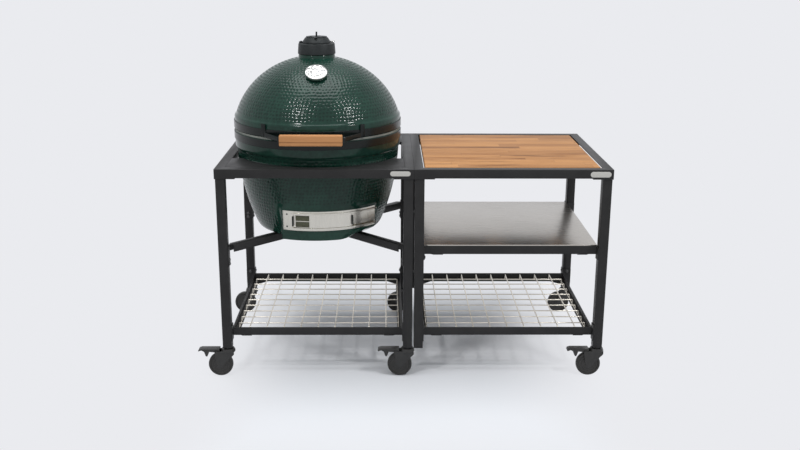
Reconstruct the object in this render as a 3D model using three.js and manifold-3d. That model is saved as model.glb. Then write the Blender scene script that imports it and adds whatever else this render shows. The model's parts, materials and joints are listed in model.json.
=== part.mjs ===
import * as THREE from "three";
import { mergeVertices } from "three/addons/utils/BufferGeometryUtils.js";
import Module from "manifold-3d";

const wasm = await Module();
wasm.setup();

// Kamado grill table: a square grill module on the left, a square side module on the right.
// Millimetres, +Z up. X runs along the table, -Y is the front, Z is zero at the floor.

// Driving dimensions of the table
const moduleSize = 760;
const tableHeight = 850;
const legFoot = 121;
const legSize = 36;
const sheet = 3;
const tubeWall = 2;
const fitGap = 0.3;
const overrun = 2;

// Top frames: a folded angle with a flat border on top
const topBorder = 36;
const topWallHeight = 34;
const cornerPlateReach = 39;
const cornerPlateThick = 4;

// Lower frames carry the wire shelves, the middle frame carries the steel shelf
const lowerFrameTop = 196;
const lowerFrameHeight = 33;
const ledgeWidth = 22;
const midFrameDrop = 313;
const midFrameHeight = 34;
const strapStart = 38;
const strapEnd = 76;
const bracketAbove = 20;
const bracketBelow = 13;

// Wire shelf
const wirePitch = 68.2;
const wiresEachWay = 9;
const wireSize = 5;
const netReach = 327;
const wireBend = 5;

// Panels
const steelShelfThick = 4;
const woodThick = 22;
const woodGap = 6;
const woodProud = 1;
const woodEdge = 2;
const battenWidth = 60;
const battenCount = 3;
const battenInset = 36;
const deckGap = 3;
const deckWindowReach = 170;

// Cross brace under the kamado
const braceSize = 30;
const braceDrop = 308;
const braceBracketDrop = 50;
const braceWall = 3;

// Casters
const casterTrail = 31;
const wheelRadius = 50;
const wheelWidth = 26;
const wheelSegments = 14;
const treadRound = 5;
const hubProud = 2.5;
const dishDepth = 4;
const dishRim = 9;
const axleRadius = 5;
const raceRadius = 19;
const raceHeight = 4;
const stemRadius = 6;
const stemPlug = 8;
const forkHeadRadius = 29;
const forkHeadHeight = 12;
const forkHeadRound = 4;
const forkSkirt = 10;
const cheekThick = 4;
const cheekGap = 1.5;
const axleBoss = 13;
const pedalPivotBack = 45;
const pedalPivotDrop = 13.5;
const pedalPivotRadius = 3;
const pedalPivotWall = 3;
const pedalReach = 119;
const pedalThick = 6;
const pedalTipDrop = 9;
const pedalTipLength = 14;
const shoeBack = 88;
const shoeDrop = 36;
const shoeWidth = 13;

// Kamado body
const kamadoShift = 8;
const rimRadius = 338;
const seamRise = 101;
const gasketThick = 4;
const gasketWidth = 22;
const footCornerInset = 14.472;
const baseWall = 26;
const baseFloor = 30;
const baseLipHeight = 60;
const baseLipRound = 12;
const domeWall = 24;
const domeSwell = 6;
const domeRise = 312;
const domeSink = 23;
const domeLipHeight = 56;
const domeLipRound = 7;
const neckShoulderRadius = 74;
const neckHeight = 14;
const neckRadius = 61;
const neckRise = 309;
const flueRadius = 50;

// Shares of the kamado's outline
const baseCrownShare = 0.986;
const baseTaperShare = 0.242;
const baseTaperPower = 2.3;
const footCornerShare = 0.06;

// Bands, handle and hinge
const bandThick = 3;
const bandHeight = 29;
const bandInset = 3;
const bandEarAngle = 97;
const bandEarLength = 12;
const bandEarWidth = 16;
const handleLength = 236;
const handleHeight = 41;
const handleDepth = 27;
const handleRound = 8;
const handleClear = 47.2;
const handleRise = 15;
const handleStrapHeight = 18;
const handleStrapThick = 4;
const handleFootAngle = 33.5;
const handleFootSpreadAngle = 3;
const handleFootHeight = 50;
const hingePinClear = 34.7;
const hingePinRadius = 5;
const hingeWidth = 156;
const hingeEarThick = 5;
const hingeEarRadius = 11;
const hingeArmOffset = 52;
const hingeEarOffsets = [74, 14];
const springWire = 2.6;
const springTurns = 5;
const springLength = 29;

// Draft door in the front of the base: upright plates curved about the kamado's axis
const draftProud = 20.0817;
const draftPlaceAngle = 13;
const draftRise = 82.7;
const draftPlateHalfAngle = 37.5;
const draftPlateHeight = 78;
const draftPlateThick = 2;
const draftPad = 10;
const draftPadEdge = 1.5;
const draftOpeningStartAngle = -28;
const draftOpeningAngle = 32;
const draftOpeningHeight = 52;
const draftDoorHeight = 60;
const draftSheet = 1.5;
const draftPlay = 0.8;
const draftSlideGap = 2.2;
const draftDoorSetAngle = 11.4;
const draftLip = 4;
const draftTabHeight = 40;
const draftTabReach = 11;
const draftTabAngle = 0.6;
const windowRows = 2;
const windowColumns = 1;
const windowBar = 3;
const windowPostAngle = 1;

// Cap
const capBottomRadius = 76;
const capTopRadius = 73;
const capHeight = 28;
const capWall = 7;
const capShelf = 6;
const lidRadius = 57;
const lidCrownRadius = 46;
const lidHeight = 22.5;
const lidWall = 5;
const lidHoleCount = 5;
const lidHoleRadius = 8;
const lidHoleCircle = 27;
const damperRadius = 42;
const damperThick = 3.5;
const damperTab = 12;
const capPinRadius = 3.5;
const capPinHeight = 45;
const lidPivotBack = 62;
const lidPivotRadius = 4;
const lidEarRadius = 9;
const lidEarThick = 6;
const lidRodRadius = 2.2;
const lidRodRise = 6;
const lidRodLength = 15;
const lidCoilWire = 1.8;
const lidCoilTurns = 4;
const lidCoilLength = 13;

// Thermometer
const dialRadius = 43;
const dialDepth = 13;
const dialRim = 4;
const dialRecess = 5;
const dialTilt = 57.5;
const dialPlaceAngle = 3;
const dialStandoff = 5;
const dialStemRadius = 4;
const dialStemLength = 70;
const dialNutRadius = 10;
const dialGlassThick = 1.5;
const pointerLength = 32;
const pointerTail = 9;
const pointerWidth = 4;
const pointerThick = 1;
const pointerHubRadius = 4;
const pointerRestAngle = 176;

// Fire parts inside the base
const fireboxWall = 18;
const fireboxFloor = 22;
const fireboxDrop = 129;
const fireboxAir = 6;
const fireboxHoleRadius = 62;
const fireRingDrop = 21;
const fireRingWall = 20;
const grateRadius = 178;
const grateThick = 8;
const grateClear = 17;
const grateSlotWidth = 20;
const grateSlotCount = 5;
const grateRim = 14;
const gridClear = 16;
const gridWire = 6;
const gridBars = 9;

const roundSegments = 32;
const innerSegments = 20;
const smallSegments = 8;
const arcStep = 5;
const coilSteps = 8;
const coilSides = 5;
const legGap = fitGap;
const legInset = sheet + legGap;
const half = moduleSize / 2;
const frameHalf = half - fitGap;
const legOuter = frameHalf - legInset;
const legInner = legOuter - legSize;
const legCentre = legOuter - legSize / 2;
const innerHalf = legInner - fitGap;
const topFrameBottom = tableHeight - topWallHeight;
const midFrameTop = tableHeight - midFrameDrop;
const braceTop = tableHeight - braceDrop;
const seamHeight = tableHeight + seamRise;
const neckTop = seamHeight + neckRise;
const neckShoulderTop = neckTop - neckHeight;
const capTop = neckTop + capHeight;
const capPinTop = capTop + capPinHeight;
const footZ = braceTop + fitGap;
const rimZ = seamHeight - gasketThick;
const domeZ = seamHeight + gasketThick;
const draftHeight = footZ + draftRise;
const domeRadius = rimRadius + domeSwell;
const deckOpening = rimRadius + deckGap;
const gridRadius = rimRadius - baseWall - gridClear;
const footRadius = baseRadiusAt(footZ) - footCornerInset;
const draftRadius = baseRadiusAt(draftHeight) + draftProud;
const grateHeight = draftHeight + draftOpeningHeight / 2 + grateClear;
const fireboxTop = seamHeight - fireboxDrop;
const fireRingTop = seamHeight - fireRingDrop;
const halfTurnAngle = 180;
const mergeShare = 0.00005;
const root2 = Math.SQRT2;
const rad = THREE.MathUtils.degToRad;

// Turns a geometry into a closed solid: shared corners merged, empty triangles dropped, faces out.
function solid(geometry) {
  const bare = geometry.clone();
  for (const name of Object.keys(bare.attributes)) {
    if (name !== "position") {
      bare.deleteAttribute(name);
    }
  }
  const merged = mergeVertices(bare, overrun * mergeShare);
  const points = merged.attributes.position.array;
  const index = merged.index.array;
  const kept = [];
  let volume = 0;
  const corners = [new THREE.Vector3(), new THREE.Vector3(), new THREE.Vector3()];
  for (let i = 0; i < index.length; i += 3) {
    const [a, b, c] = [index[i], index[i + 1], index[i + 2]];
    if (a !== b && b !== c && c !== a) {
      kept.push(a, b, c);
      [a, b, c].forEach((at, k) => corners[k].fromArray(points, at * 3));
      volume += corners[0].dot(corners[1].cross(corners[2]));
    }
  }
  const triVerts = new Uint32Array(kept);
  if (volume < 0) {
    for (let i = 0; i < triVerts.length; i += 3) {
      [triVerts[i], triVerts[i + 1]] = [triVerts[i + 1], triVerts[i]];
    }
  }
  const mesh = new wasm.Mesh({ numProp: 3, vertProperties: new Float32Array(points), triVerts });
  return new wasm.Manifold(mesh);
}

function geometryOf(manifold) {
  const mesh = manifold.getMesh();
  const geometry = new THREE.BufferGeometry();
  const positions = new Float32Array(mesh.numVert * 3);
  for (let i = 0; i < mesh.numVert; i += 1) {
    for (let k = 0; k < 3; k += 1) {
      positions[i * 3 + k] = mesh.vertProperties[i * mesh.numProp + k];
    }
  }
  geometry.setAttribute("position", new THREE.BufferAttribute(positions, 3));
  geometry.setIndex(new THREE.BufferAttribute(new Uint32Array(mesh.triVerts), 1));
  return geometry;
}

function join(...pieces) {
  return geometryOf(pieces.map(solid).reduce((whole, piece) => whole.add(piece)));
}

function cut(body, ...tools) {
  return geometryOf(tools.map(solid).reduce((whole, tool) => whole.subtract(tool), solid(body)));
}

function meet(first, second) {
  return geometryOf(solid(first).intersect(solid(second)));
}

function block(x0, x1, y0, y1, z0, z1) {
  const geometry = new THREE.BoxGeometry(x1 - x0, y1 - y0, z1 - z0);
  return geometry.translate((x0 + x1) / 2, (y0 + y1) / 2, (z0 + z1) / 2);
}

// A profile of [radius, height] pairs turned about Z, closed on itself or on the axis.
function turned(profile, segments = roundSegments, start = 0) {
  const points = profile.map(([radius, height]) => new THREE.Vector2(radius, height));
  if (profile[0][0] !== 0 || profile[profile.length - 1][0] !== 0) {
    points.push(points[0].clone());
  }
  return new THREE.LatheGeometry(points, segments, start).rotateX(Math.PI / 2);
}

// The same with four sides: a mitred square ring whose profile is measured across its flats.
function squareRing(profile) {
  return turned(profile, 4, Math.PI / 4).scale(root2, root2, 1);
}

function outline(points) {
  return new THREE.Shape(points.map(([x, y]) => new THREE.Vector2(x, y)));
}

// An outline drawn in XY and raised along Z from a given height.
function raised(shape, from, height, curveSegments = smallSegments) {
  const settings = { depth: height, bevelEnabled: false, curveSegments };
  return new THREE.ExtrudeGeometry(shape, settings).translate(0, 0, from);
}

// An outline drawn in XZ (x right, y up) and given a width about Y = 0.
function upright(shape, width, curveSegments = smallSegments) {
  return raised(shape, -width / 2, width, curveSegments).rotateX(Math.PI / 2);
}

function rodAlong(axis, radius, from, to, segments = smallSegments) {
  const rod = new THREE.CylinderGeometry(radius, radius, to - from, segments);
  rod.translate(0, (from + to) / 2, 0);
  if (axis === "x") {
    rod.rotateZ(-Math.PI / 2);
  }
  if (axis === "z") {
    rod.rotateX(Math.PI / 2);
  }
  return rod;
}

// A bore in which a round pin of the given radius turns freely, also at the flats.
function boreRadius(pinRadius) {
  return (pinRadius + fitGap) / Math.cos(Math.PI / smallSegments);
}

function disc(radius, width, segments = roundSegments) {
  return rodAlong("z", radius, -width / 2, width / 2, segments);
}

// A curved plate between two radii and two turns from the front, in degrees, to the right.
function arcPlate(inner, outer, start, span, from, height) {
  const steps = Math.max(2, Math.round(span / arcStep));
  const corner = (radius, turn) => [radius * Math.sin(rad(turn)), -radius * Math.cos(rad(turn))];
  const points = [];
  for (let i = 0; i <= steps; i += 1) {
    points.push(corner(outer, start + (span * i) / steps));
  }
  for (let i = steps; i >= 0; i -= 1) {
    points.push(corner(inner, start + (span * i) / steps));
  }
  return raised(outline(points), from, height);
}

// A flat strap that follows a path in XY: the path moved half a thickness to either side.
function strapOutline(path, thickness) {
  const side = (sign) =>
    path.map(([x, y], i) => {
      const before = path[Math.max(i - 1, 0)];
      const after = path[Math.min(i + 1, path.length - 1)];
      const along = new THREE.Vector2(after[0] - before[0], after[1] - before[1]).normalize();
      return [x - (sign * along.y * thickness) / 2, y + (sign * along.x * thickness) / 2];
    });
  return outline([...side(1), ...side(-1).reverse()]);
}

// The radius at which a wire winds round a core with the fitting gap to spare.
function windingRadius(core, wire) {
  return (core + fitGap + wire / 2) / Math.cos(Math.PI / coilSteps);
}

// One unbroken round wire wound along X, with the least gap between its turns printed.
function coil(name, radius, wire, turns, length) {
  const steps = turns * coilSteps;
  const rise = (length - wire) / turns;
  const positions = [];
  const index = [];
  const centre = (i) => {
    const turn = (2 * Math.PI * i) / coilSteps;
    const along = (rise * i) / coilSteps - (length - wire) / 2;
    return new THREE.Vector3(along, radius * Math.cos(turn), radius * Math.sin(turn));
  };
  for (let i = 0; i <= steps; i += 1) {
    const turn = (2 * Math.PI * i) / coilSteps;
    const out = new THREE.Vector3(0, Math.cos(turn), Math.sin(turn));
    const forward = new THREE.Vector3(rise / (2 * Math.PI), -radius * Math.sin(turn), radius * Math.cos(turn));
    const across = forward.normalize().cross(out);
    for (let k = 0; k < coilSides; k += 1) {
      const around = (2 * Math.PI * k) / coilSides;
      const point = centre(i)
        .addScaledVector(out, (wire / 2) * Math.cos(around))
        .addScaledVector(across, (wire / 2) * Math.sin(around));
      positions.push(point.x, point.y, point.z);
    }
  }
  for (let i = 0; i < steps; i += 1) {
    for (let k = 0; k < coilSides; k += 1) {
      const next = (k + 1) % coilSides;
      const [a, b] = [i * coilSides + k, i * coilSides + next];
      const [c, d] = [a + coilSides, b + coilSides];
      index.push(a, b, d, a, d, c);
    }
  }
  for (let k = 1; k < coilSides - 1; k += 1) {
    index.push(0, k + 1, k);
    index.push(steps * coilSides, steps * coilSides + k, steps * coilSides + k + 1);
  }
  let least = Infinity;
  for (let i = 0; i <= steps; i += 1) {
    for (let j = i + coilSteps / 2; j <= steps; j += 1) {
      least = Math.min(least, centre(i).distanceTo(centre(j)) - wire);
    }
  }
  console.log(`${name}: least gap between turns ${least.toFixed(2)}`);
  const geometry = new THREE.BufferGeometry();
  geometry.setAttribute("position", new THREE.BufferAttribute(new Float32Array(positions), 3));
  geometry.setIndex(index);
  return geometryOf(solid(geometry));
}

// Finishes
const finish = (color, roughness, metalness) => new THREE.MeshStandardMaterial({ color, roughness, metalness });
const powderCoat = finish(0x2b2d2e, 0.55, 0.2);
const acacia = finish(0xb98752, 0.55, 0);
const brushedSteel = finish(0x9c9890, 0.32, 1);
const wireSteel = finish(0xb9b3a6, 0.35, 1);
const glaze = finish(0x284b3e, 0.18, 0);
const felt = finish(0xa9a69c, 0.95, 0);
const castIron = finish(0x2c3031, 0.6, 0.6);
const blackNylon = finish(0x23211f, 0.6, 0);
const tyreRubber = finish(0x2b2826, 0.75, 0);
const fireClay = finish(0xb7a48a, 0.9, 0);
const chromeSteel = finish(0xc9c9c6, 0.2, 1);
const dialWhite = finish(0xf1f1ee, 0.4, 0);
const clearGlass = finish(0xeef3f3, 0.05, 0);
const pointerRed = finish(0x26282a, 0.5, 0);

function piece(parent, name, geometry, material) {
  const mesh = new THREE.Mesh(geometryOf(solid(geometry)), material);
  mesh.name = name;
  parent.add(mesh);
  return mesh;
}

function mirrored(points) {
  return points.map(([x, y]) => [-x, y]).reverse();
}

const quarterTurns = [0, 1, 2, 3].map((count) => (count * Math.PI) / 2);

// Top frame: border, outer wall and four corner plates that the legs pass through.
function topFrame() {
  const inner = frameHalf - topBorder;
  const ring = squareRing([
    [inner, tableHeight],
    [inner, tableHeight - sheet],
    [frameHalf - sheet, tableHeight - sheet],
    [frameHalf - sheet, topFrameBottom],
    [frameHalf, topFrameBottom],
    [frameHalf, tableHeight],
  ]);
  const reach = legInner - cornerPlateReach;
  const plateTop = topFrameBottom + fitGap;
  const corner = outline([
    [frameHalf, frameHalf],
    [reach, frameHalf],
    [reach, legInner],
    [legInner, reach],
    [frameHalf, reach],
  ]);
  const legHole = block(
    legInner - fitGap, legOuter + fitGap, legInner - fitGap, legOuter + fitGap,
    topFrameBottom - cornerPlateThick - overrun, plateTop + overrun,
  );
  const plate = cut(raised(corner, plateTop - cornerPlateThick, cornerPlateThick), legHole);
  return join(ring, ...quarterTurns.map((turn) => plate.clone().rotateZ(turn)));
}

// Leg: a square tube, open at the top. A leg on a caster has the stem's plug, race and stem.
function leg(onCaster) {
  const top = tableHeight - sheet - fitGap;
  const bore = legSize / 2 - tubeWall;
  const side = legSize / 2;
  const outer = block(-side, side, -side, side, legFoot, top);
  const lowest = onCaster ? legFoot + stemPlug : legFoot - overrun;
  const tube = cut(outer, block(-bore, bore, -bore, bore, lowest, top + overrun));
  if (!onCaster) {
    return tube;
  }
  const race = turned([
    [0, legFoot + overrun],
    [raceRadius, legFoot + overrun],
    [raceRadius, legFoot - raceHeight],
    [stemRadius, legFoot - raceHeight],
    [stemRadius, legFoot - raceHeight - forkHeadHeight + fitGap],
    [0, legFoot - raceHeight - forkHeadHeight + fitGap],
  ], smallSegments);
  return join(tube, race);
}

// Two tabs on a leg's inner faces, past the corner of a frame.
function cornerBracket(bottom, top) {
  const near = legInner - fitGap - sheet;
  const far = legInner - fitGap;
  const along = block(near, far, near, legOuter, bottom, top);
  const across = block(near, legOuter, near, far, bottom, top);
  return join(along, across);
}

// A diagonal strap in the corner of a frame.
function cornerStrap(bottom) {
  const edge = innerHalf;
  const strap = outline([
    [edge, edge - strapEnd],
    [edge, edge - strapStart],
    [edge - strapStart, edge],
    [edge - strapEnd, edge],
  ]);
  return raised(strap, bottom, sheet);
}

// Lower frame: an angle ring with its ledge at the bottom.
function lowerFrame() {
  const bottom = lowerFrameTop - lowerFrameHeight;
  const ring = squareRing([
    [innerHalf, bottom],
    [innerHalf, lowerFrameTop],
    [innerHalf - sheet, lowerFrameTop],
    [innerHalf - sheet, bottom + sheet],
    [innerHalf - ledgeWidth, bottom + sheet],
    [innerHalf - ledgeWidth, bottom],
  ]);
  const bracket = cornerBracket(bottom - bracketBelow, lowerFrameTop + bracketAbove);
  const corner = join(bracket, cornerStrap(bottom - sheet + fitGap));
  return join(ring, ...quarterTurns.map((turn) => corner.clone().rotateZ(turn)));
}

// Middle frame: the same angle turned over, its flange on top under the steel shelf.
function midFrame() {
  const bottom = midFrameTop - midFrameHeight;
  const ring = squareRing([
    [innerHalf, bottom],
    [innerHalf, midFrameTop],
    [innerHalf - ledgeWidth, midFrameTop],
    [innerHalf - ledgeWidth, midFrameTop - sheet],
    [innerHalf - sheet, midFrameTop - sheet],
    [innerHalf - sheet, bottom],
  ]);
  const bracket = cornerBracket(bottom - bracketBelow, midFrameTop);
  const corner = join(bracket, cornerStrap(bottom - sheet + fitGap));
  return join(ring, ...quarterTurns.map((turn) => corner.clone().rotateZ(turn)));
}

// One wire bent down at both ends, drawn in XZ with its top at a given height.
function shelfWire(top, down) {
  const inner = netReach - wireSize;
  const bent = [
    [netReach - wireBend, top],
    [netReach, top - wireBend],
    [netReach, down],
    [inner, down],
    [inner, top - wireSize],
  ];
  return upright(outline([...bent, ...mirrored(bent)]), wireSize);
}

// Wire shelf: two crossing layers of bent wires welded to a square rod that lies on the ledge.
function wireShelf() {
  const rodBottom = lowerFrameTop - lowerFrameHeight + sheet + fitGap;
  const rodTop = rodBottom + wireSize;
  const upperTop = lowerFrameTop;
  const lowerTop = upperTop - wireSize;
  const ring = squareRing([
    [netReach, rodBottom],
    [netReach, rodTop],
    [netReach - wireSize, rodTop],
    [netReach - wireSize, rodBottom],
  ]);
  const wires = [];
  for (let i = 0; i < wiresEachWay; i += 1) {
    const offset = (i - (wiresEachWay - 1) / 2) * wirePitch;
    wires.push(shelfWire(upperTop, rodTop).rotateZ(Math.PI / 2).translate(offset, 0, 0));
    wires.push(shelfWire(lowerTop, rodTop).translate(0, offset, 0));
  }
  return join(ring, ...wires);
}

// Deck plate: a folded square pan with a round opening for the kamado.
function deckPlate() {
  const edge = frameHalf - topBorder - fitGap;
  const skirtBottom = topFrameBottom + 2 * fitGap;
  const pan = squareRing([
    [0, tableHeight],
    [edge, tableHeight],
    [edge, skirtBottom],
    [edge - sheet, skirtBottom],
    [edge - sheet, tableHeight - sheet],
    [0, tableHeight - sheet],
  ]);
  const opening = disc(deckOpening, 3 * topWallHeight).translate(0, 0, tableHeight);
  const near = legInner - fitGap;
  const far = edge + overrun;
  const legRoom = block(near, far, near, far, skirtBottom - overrun, tableHeight - sheet);
  const windows = block(
    -edge + sheet, edge - sheet, -deckWindowReach, deckWindowReach,
    tableHeight - sheet - fitGap, tableHeight + overrun,
  );
  return cut(pan, opening, windows, ...quarterTurns.map((turn) => legRoom.clone().rotateZ(turn)));
}

// Worktop: a glued panel with eased edges on three battens.
function woodWorktop() {
  const edge = frameHalf - topBorder - woodGap;
  const top = tableHeight + woodProud;
  const bottom = top - woodThick;
  const panel = squareRing([
    [0, top],
    [edge - woodEdge, top],
    [edge, top - woodEdge],
    [edge, bottom],
    [0, bottom],
  ]);
  const battens = [];
  for (let i = 0; i < battenCount; i += 1) {
    const share = (2 * i) / (battenCount - 1) - 1;
    const x = share * (edge - battenInset);
    battens.push(block(
      x - battenWidth / 2, x + battenWidth / 2, -edge + woodGap, edge - woodGap,
      topFrameBottom + 2 * fitGap, bottom + overrun,
    ));
  }
  return join(panel, ...battens);
}

function steelShelf() {
  const bottom = midFrameTop + fitGap;
  return squareRing([
    [0, bottom],
    [innerHalf, bottom],
    [innerHalf, bottom + steelShelfThick - fitGap],
    [innerHalf - fitGap, bottom + steelShelfThick],
    [0, bottom + steelShelfThick],
  ]);
}

// Cross brace: two channels that cross under the kamado, with tabs on the legs.
function crossBrace() {
  const bottom = braceTop - braceSize;
  const reach = (legInner - fitGap - sheet / 2) * root2;
  const wide = braceSize / 2;
  const hollow = wide - braceWall;
  const arm = (width, from, to) => block(-reach, reach, -width, width, from, to);
  const crossed = (width, from, to) => join(
    arm(width, from, to).rotateZ(Math.PI / 4),
    arm(width, from, to).rotateZ(-Math.PI / 4),
  );
  const square = legInner - fitGap;
  const bounds = block(-square, square, -square, square, bottom - overrun, braceTop + overrun);
  const arms = cut(crossed(wide, bottom, braceTop), crossed(hollow, bottom - overrun, braceTop - braceWall));
  const bracket = cornerBracket(bottom - braceBracketDrop, braceTop);
  return join(meet(arms, bounds), ...quarterTurns.map((turn) => bracket.clone().rotateZ(turn)));
}

// Caster pieces, with the swivel axis at X = 0 and the wheel trailing to -X.
const wheelFlat = wheelRadius * Math.cos(Math.PI / wheelSegments);
const headTop = legFoot - raceHeight - fitGap;
const headBottom = headTop - forkHeadHeight;
const cheekInner = wheelWidth / 2 + hubProud + cheekGap;
const pedalPivotZ = legFoot - pedalPivotDrop;

function casterWheel() {
  const wide = wheelWidth / 2;
  const dish = wheelRadius - dishRim;
  const right = [
    [axleRadius + fitGap, wide + hubProud],
    [dish, wide - dishDepth],
    [wheelRadius - treadRound, wide],
    [wheelRadius, wide - treadRound],
  ];
  const left = right.map(([radius, height]) => [radius, -height]).reverse();
  return turned([...right, ...left], wheelSegments, Math.PI / wheelSegments).rotateX(Math.PI / 2);
}

function casterFork(braked) {
  const head = turned([
    [stemRadius + fitGap, headTop],
    [forkHeadRadius - forkHeadRound, headTop],
    [forkHeadRadius, headBottom],
    [stemRadius + fitGap, headBottom],
  ], wheelSegments);
  const cheek = new THREE.Shape();
  const frontEdge = forkHeadRadius - cheekThick;
  const backEdge = braked ? pedalPivotBack + pedalPivotRadius + cheekThick : forkHeadRadius - cheekThick;
  cheek.moveTo(frontEdge, headBottom + overrun);
  cheek.lineTo(-backEdge, headBottom + overrun);
  cheek.lineTo(-backEdge, headBottom - forkSkirt);
  cheek.lineTo(-casterTrail - axleBoss, wheelFlat);
  cheek.absarc(-casterTrail, wheelFlat, axleBoss, Math.PI, 2 * Math.PI, false);
  cheek.lineTo(frontEdge, headBottom - forkSkirt);
  const side = upright(cheek, cheekThick, smallSegments / 2 - 1);
  const cheeks = [-1, 1].map((sign) => side.clone().translate(0, sign * (cheekInner + cheekThick / 2), 0));
  const axleEnd = cheekInner + cheekThick / 2;
  const axle = rodAlong("y", axleRadius, -axleEnd, axleEnd).translate(-casterTrail, 0, wheelFlat);
  const parts = [head, ...cheeks, axle];
  if (braked) {
    const pin = rodAlong("y", pedalPivotRadius, -cheekInner - overrun / 2, cheekInner + overrun / 2);
    parts.push(pin.translate(-pedalPivotBack, 0, pedalPivotZ));
  }
  return join(...parts);
}

// Brake pedal: a lever on a cross pin, with a down-turned tip and a shoe that meets the tread.
function brakePedal() {
  const top = headTop - fitGap;
  const root = -forkHeadRadius - cheekThick;
  const shoeBottom = legFoot - shoeDrop;
  const lever = outline([
    [root, top],
    [root, pedalPivotZ - pedalPivotRadius],
    [-pedalPivotBack, pedalPivotZ - pedalPivotRadius - pedalPivotWall],
    [-shoeBack + shoeWidth, top - 2 * pedalThick],
    [-shoeBack + shoeWidth / 2, shoeBottom],
    [-shoeBack, shoeBottom],
    [-shoeBack - shoeWidth / 2, top - 2 * pedalThick],
    [-pedalReach + pedalTipLength, top - pedalThick],
    [-pedalReach, top - pedalThick - pedalTipDrop / 2],
    [-pedalReach + pedalThick / 2, top - pedalThick / 2],
    [-pedalReach + pedalTipLength, top],
  ]);
  const pedalWidth = 2 * (cheekInner - fitGap);
  const bore = rodAlong("y", boreRadius(pedalPivotRadius), -pedalWidth, pedalWidth);
  return cut(upright(lever, pedalWidth), bore.translate(-pedalPivotBack, 0, pedalPivotZ));
}

// Kamado outline
function baseRadiusAt(z) {
  const up = (z - footZ) / (rimZ - footZ);
  return rimRadius * (baseCrownShare - baseTaperShare * Math.pow(Math.max(1 - up, 0), baseTaperPower));
}

function baseProfile(offset, bottom, top, cornerRadius, count) {
  const start = bottom + footCornerShare * (rimZ - footZ);
  const points = [];
  const corner = new THREE.QuadraticBezierCurve(
    new THREE.Vector2(cornerRadius, bottom),
    new THREE.Vector2(baseRadiusAt(bottom) - offset, bottom),
    new THREE.Vector2(baseRadiusAt(start) - offset, start),
  );
  corner.getPoints(3).forEach((point) => points.push([point.x, point.y]));
  for (let i = 1; i <= count; i += 1) {
    const z = start + ((top - start) * i) / count;
    points.push([baseRadiusAt(z) - offset, z]);
  }
  return points;
}

// Everything of the draft door is made about the upright axis, then turned into place.
function draftPlace(geometry) {
  return geometry.rotateZ(rad(draftPlaceAngle)).translate(0, 0, draftHeight);
}

function draftHole(inner, outer, height) {
  return draftPlace(arcPlate(inner, outer, draftOpeningStartAngle, draftOpeningAngle, -height / 2, height));
}

function baseShell() {
  const lipBottom = rimZ - baseLipHeight;
  const floor = footZ + baseFloor;
  const outer = baseProfile(0, footZ, lipBottom - baseLipRound, footRadius, 5);
  const inner = baseProfile(baseWall, floor, lipBottom, footRadius - baseWall, 3);
  const shell = turned([
    [0, footZ],
    ...outer,
    [rimRadius, lipBottom],
    [rimRadius, rimZ],
    [rimRadius - baseWall, rimZ],
    ...inner.reverse(),
    [0, floor],
  ]);
  const padInner = draftRadius - draftPlateThick - fitGap;
  const padSpan = draftPlateHalfAngle + draftPadEdge;
  const padBottom = footZ - draftHeight;
  const pad = draftPlace(arcPlate(
    padInner / 2, padInner, -padSpan, 2 * padSpan, padBottom, draftPlateHeight / 2 + draftPad - padBottom,
  ));
  const bowl = turned([
    [0, floor],
    ...baseProfile(baseWall, floor, lipBottom, footRadius - baseWall, 3),
    [rimRadius - baseWall, rimZ],
    [rimRadius - baseWall, domeZ],
    [0, domeZ],
  ]);
  const hole = draftHole(draftRadius / 2, draftRadius + draftPad, draftOpeningHeight);
  return cut(join(shell, pad), bowl, hole);
}

function domePoint(turn, offset) {
  return [(domeRadius - offset) * Math.cos(turn), seamHeight - domeSink + (domeRise - offset) * Math.sin(turn)];
}

function domeArc(offset, startZ, endRadius, count) {
  const start = Math.asin((startZ - seamHeight + domeSink) / (domeRise - offset));
  const end = Math.acos(endRadius / (domeRadius - offset));
  const points = [];
  for (let i = 0; i <= count; i += 1) {
    points.push(domePoint(start + ((end - start) * i) / count, offset));
  }
  return points;
}

// The thermometer's axis leaves the dome square to its surface at the dial's tilt.
const dialTurn = Math.atan((Math.tan(rad(dialTilt)) * domeRise) / domeRadius);
const [dialSeatRadius, dialSeatZ] = domePoint(dialTurn, 0);

function dialPlace(geometry) {
  const seated = geometry.rotateX(Math.PI / 2 - rad(dialTilt)).translate(0, -dialSeatRadius, dialSeatZ);
  return seated.rotateZ(rad(dialPlaceAngle));
}

function domeShell() {
  const lipTop = domeZ + domeLipHeight;
  const outer = domeArc(0, lipTop + domeLipRound, neckShoulderRadius, 8);
  const inner = domeArc(domeWall, domeZ + domeLipHeight, flueRadius, 3);
  const shell = turned([
    [rimRadius - baseWall, domeZ],
    [rimRadius, domeZ],
    [rimRadius, lipTop],
    ...outer,
    [neckShoulderRadius, neckShoulderTop],
    [neckRadius, neckShoulderTop],
    [neckRadius, neckTop],
    [flueRadius, neckTop],
    ...inner.reverse(),
  ]);
  const stemHole = rodAlong("z", dialStemRadius + 2 * fitGap, -dialStemLength, dialStemLength);
  return cut(shell, dialPlace(stemHole));
}

function ringSection(inner, outer, from, to) {
  return turned([[inner, from], [inner, to], [outer, to], [outer, from]]);
}

const bandInner = rimRadius + fitGap;
const bandOuter = bandInner + bandThick;
const hingePinBack = bandOuter + hingePinClear;

function upperBand() {
  const from = domeZ + bandInset;
  const ring = ringSection(bandInner, bandOuter, from, from + bandHeight);
  const ear = block(
    -bandEarWidth / 2, bandEarWidth / 2, -bandOuter - bandEarLength, -bandInner - bandThick / 2,
    from + bandHeight / 2, from + bandHeight,
  );
  return join(ring, ear.rotateZ(rad(bandEarAngle)));
}

function lowerBand() {
  const to = rimZ - bandInset;
  return ringSection(bandInner, bandOuter, to - bandHeight, to);
}

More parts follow.
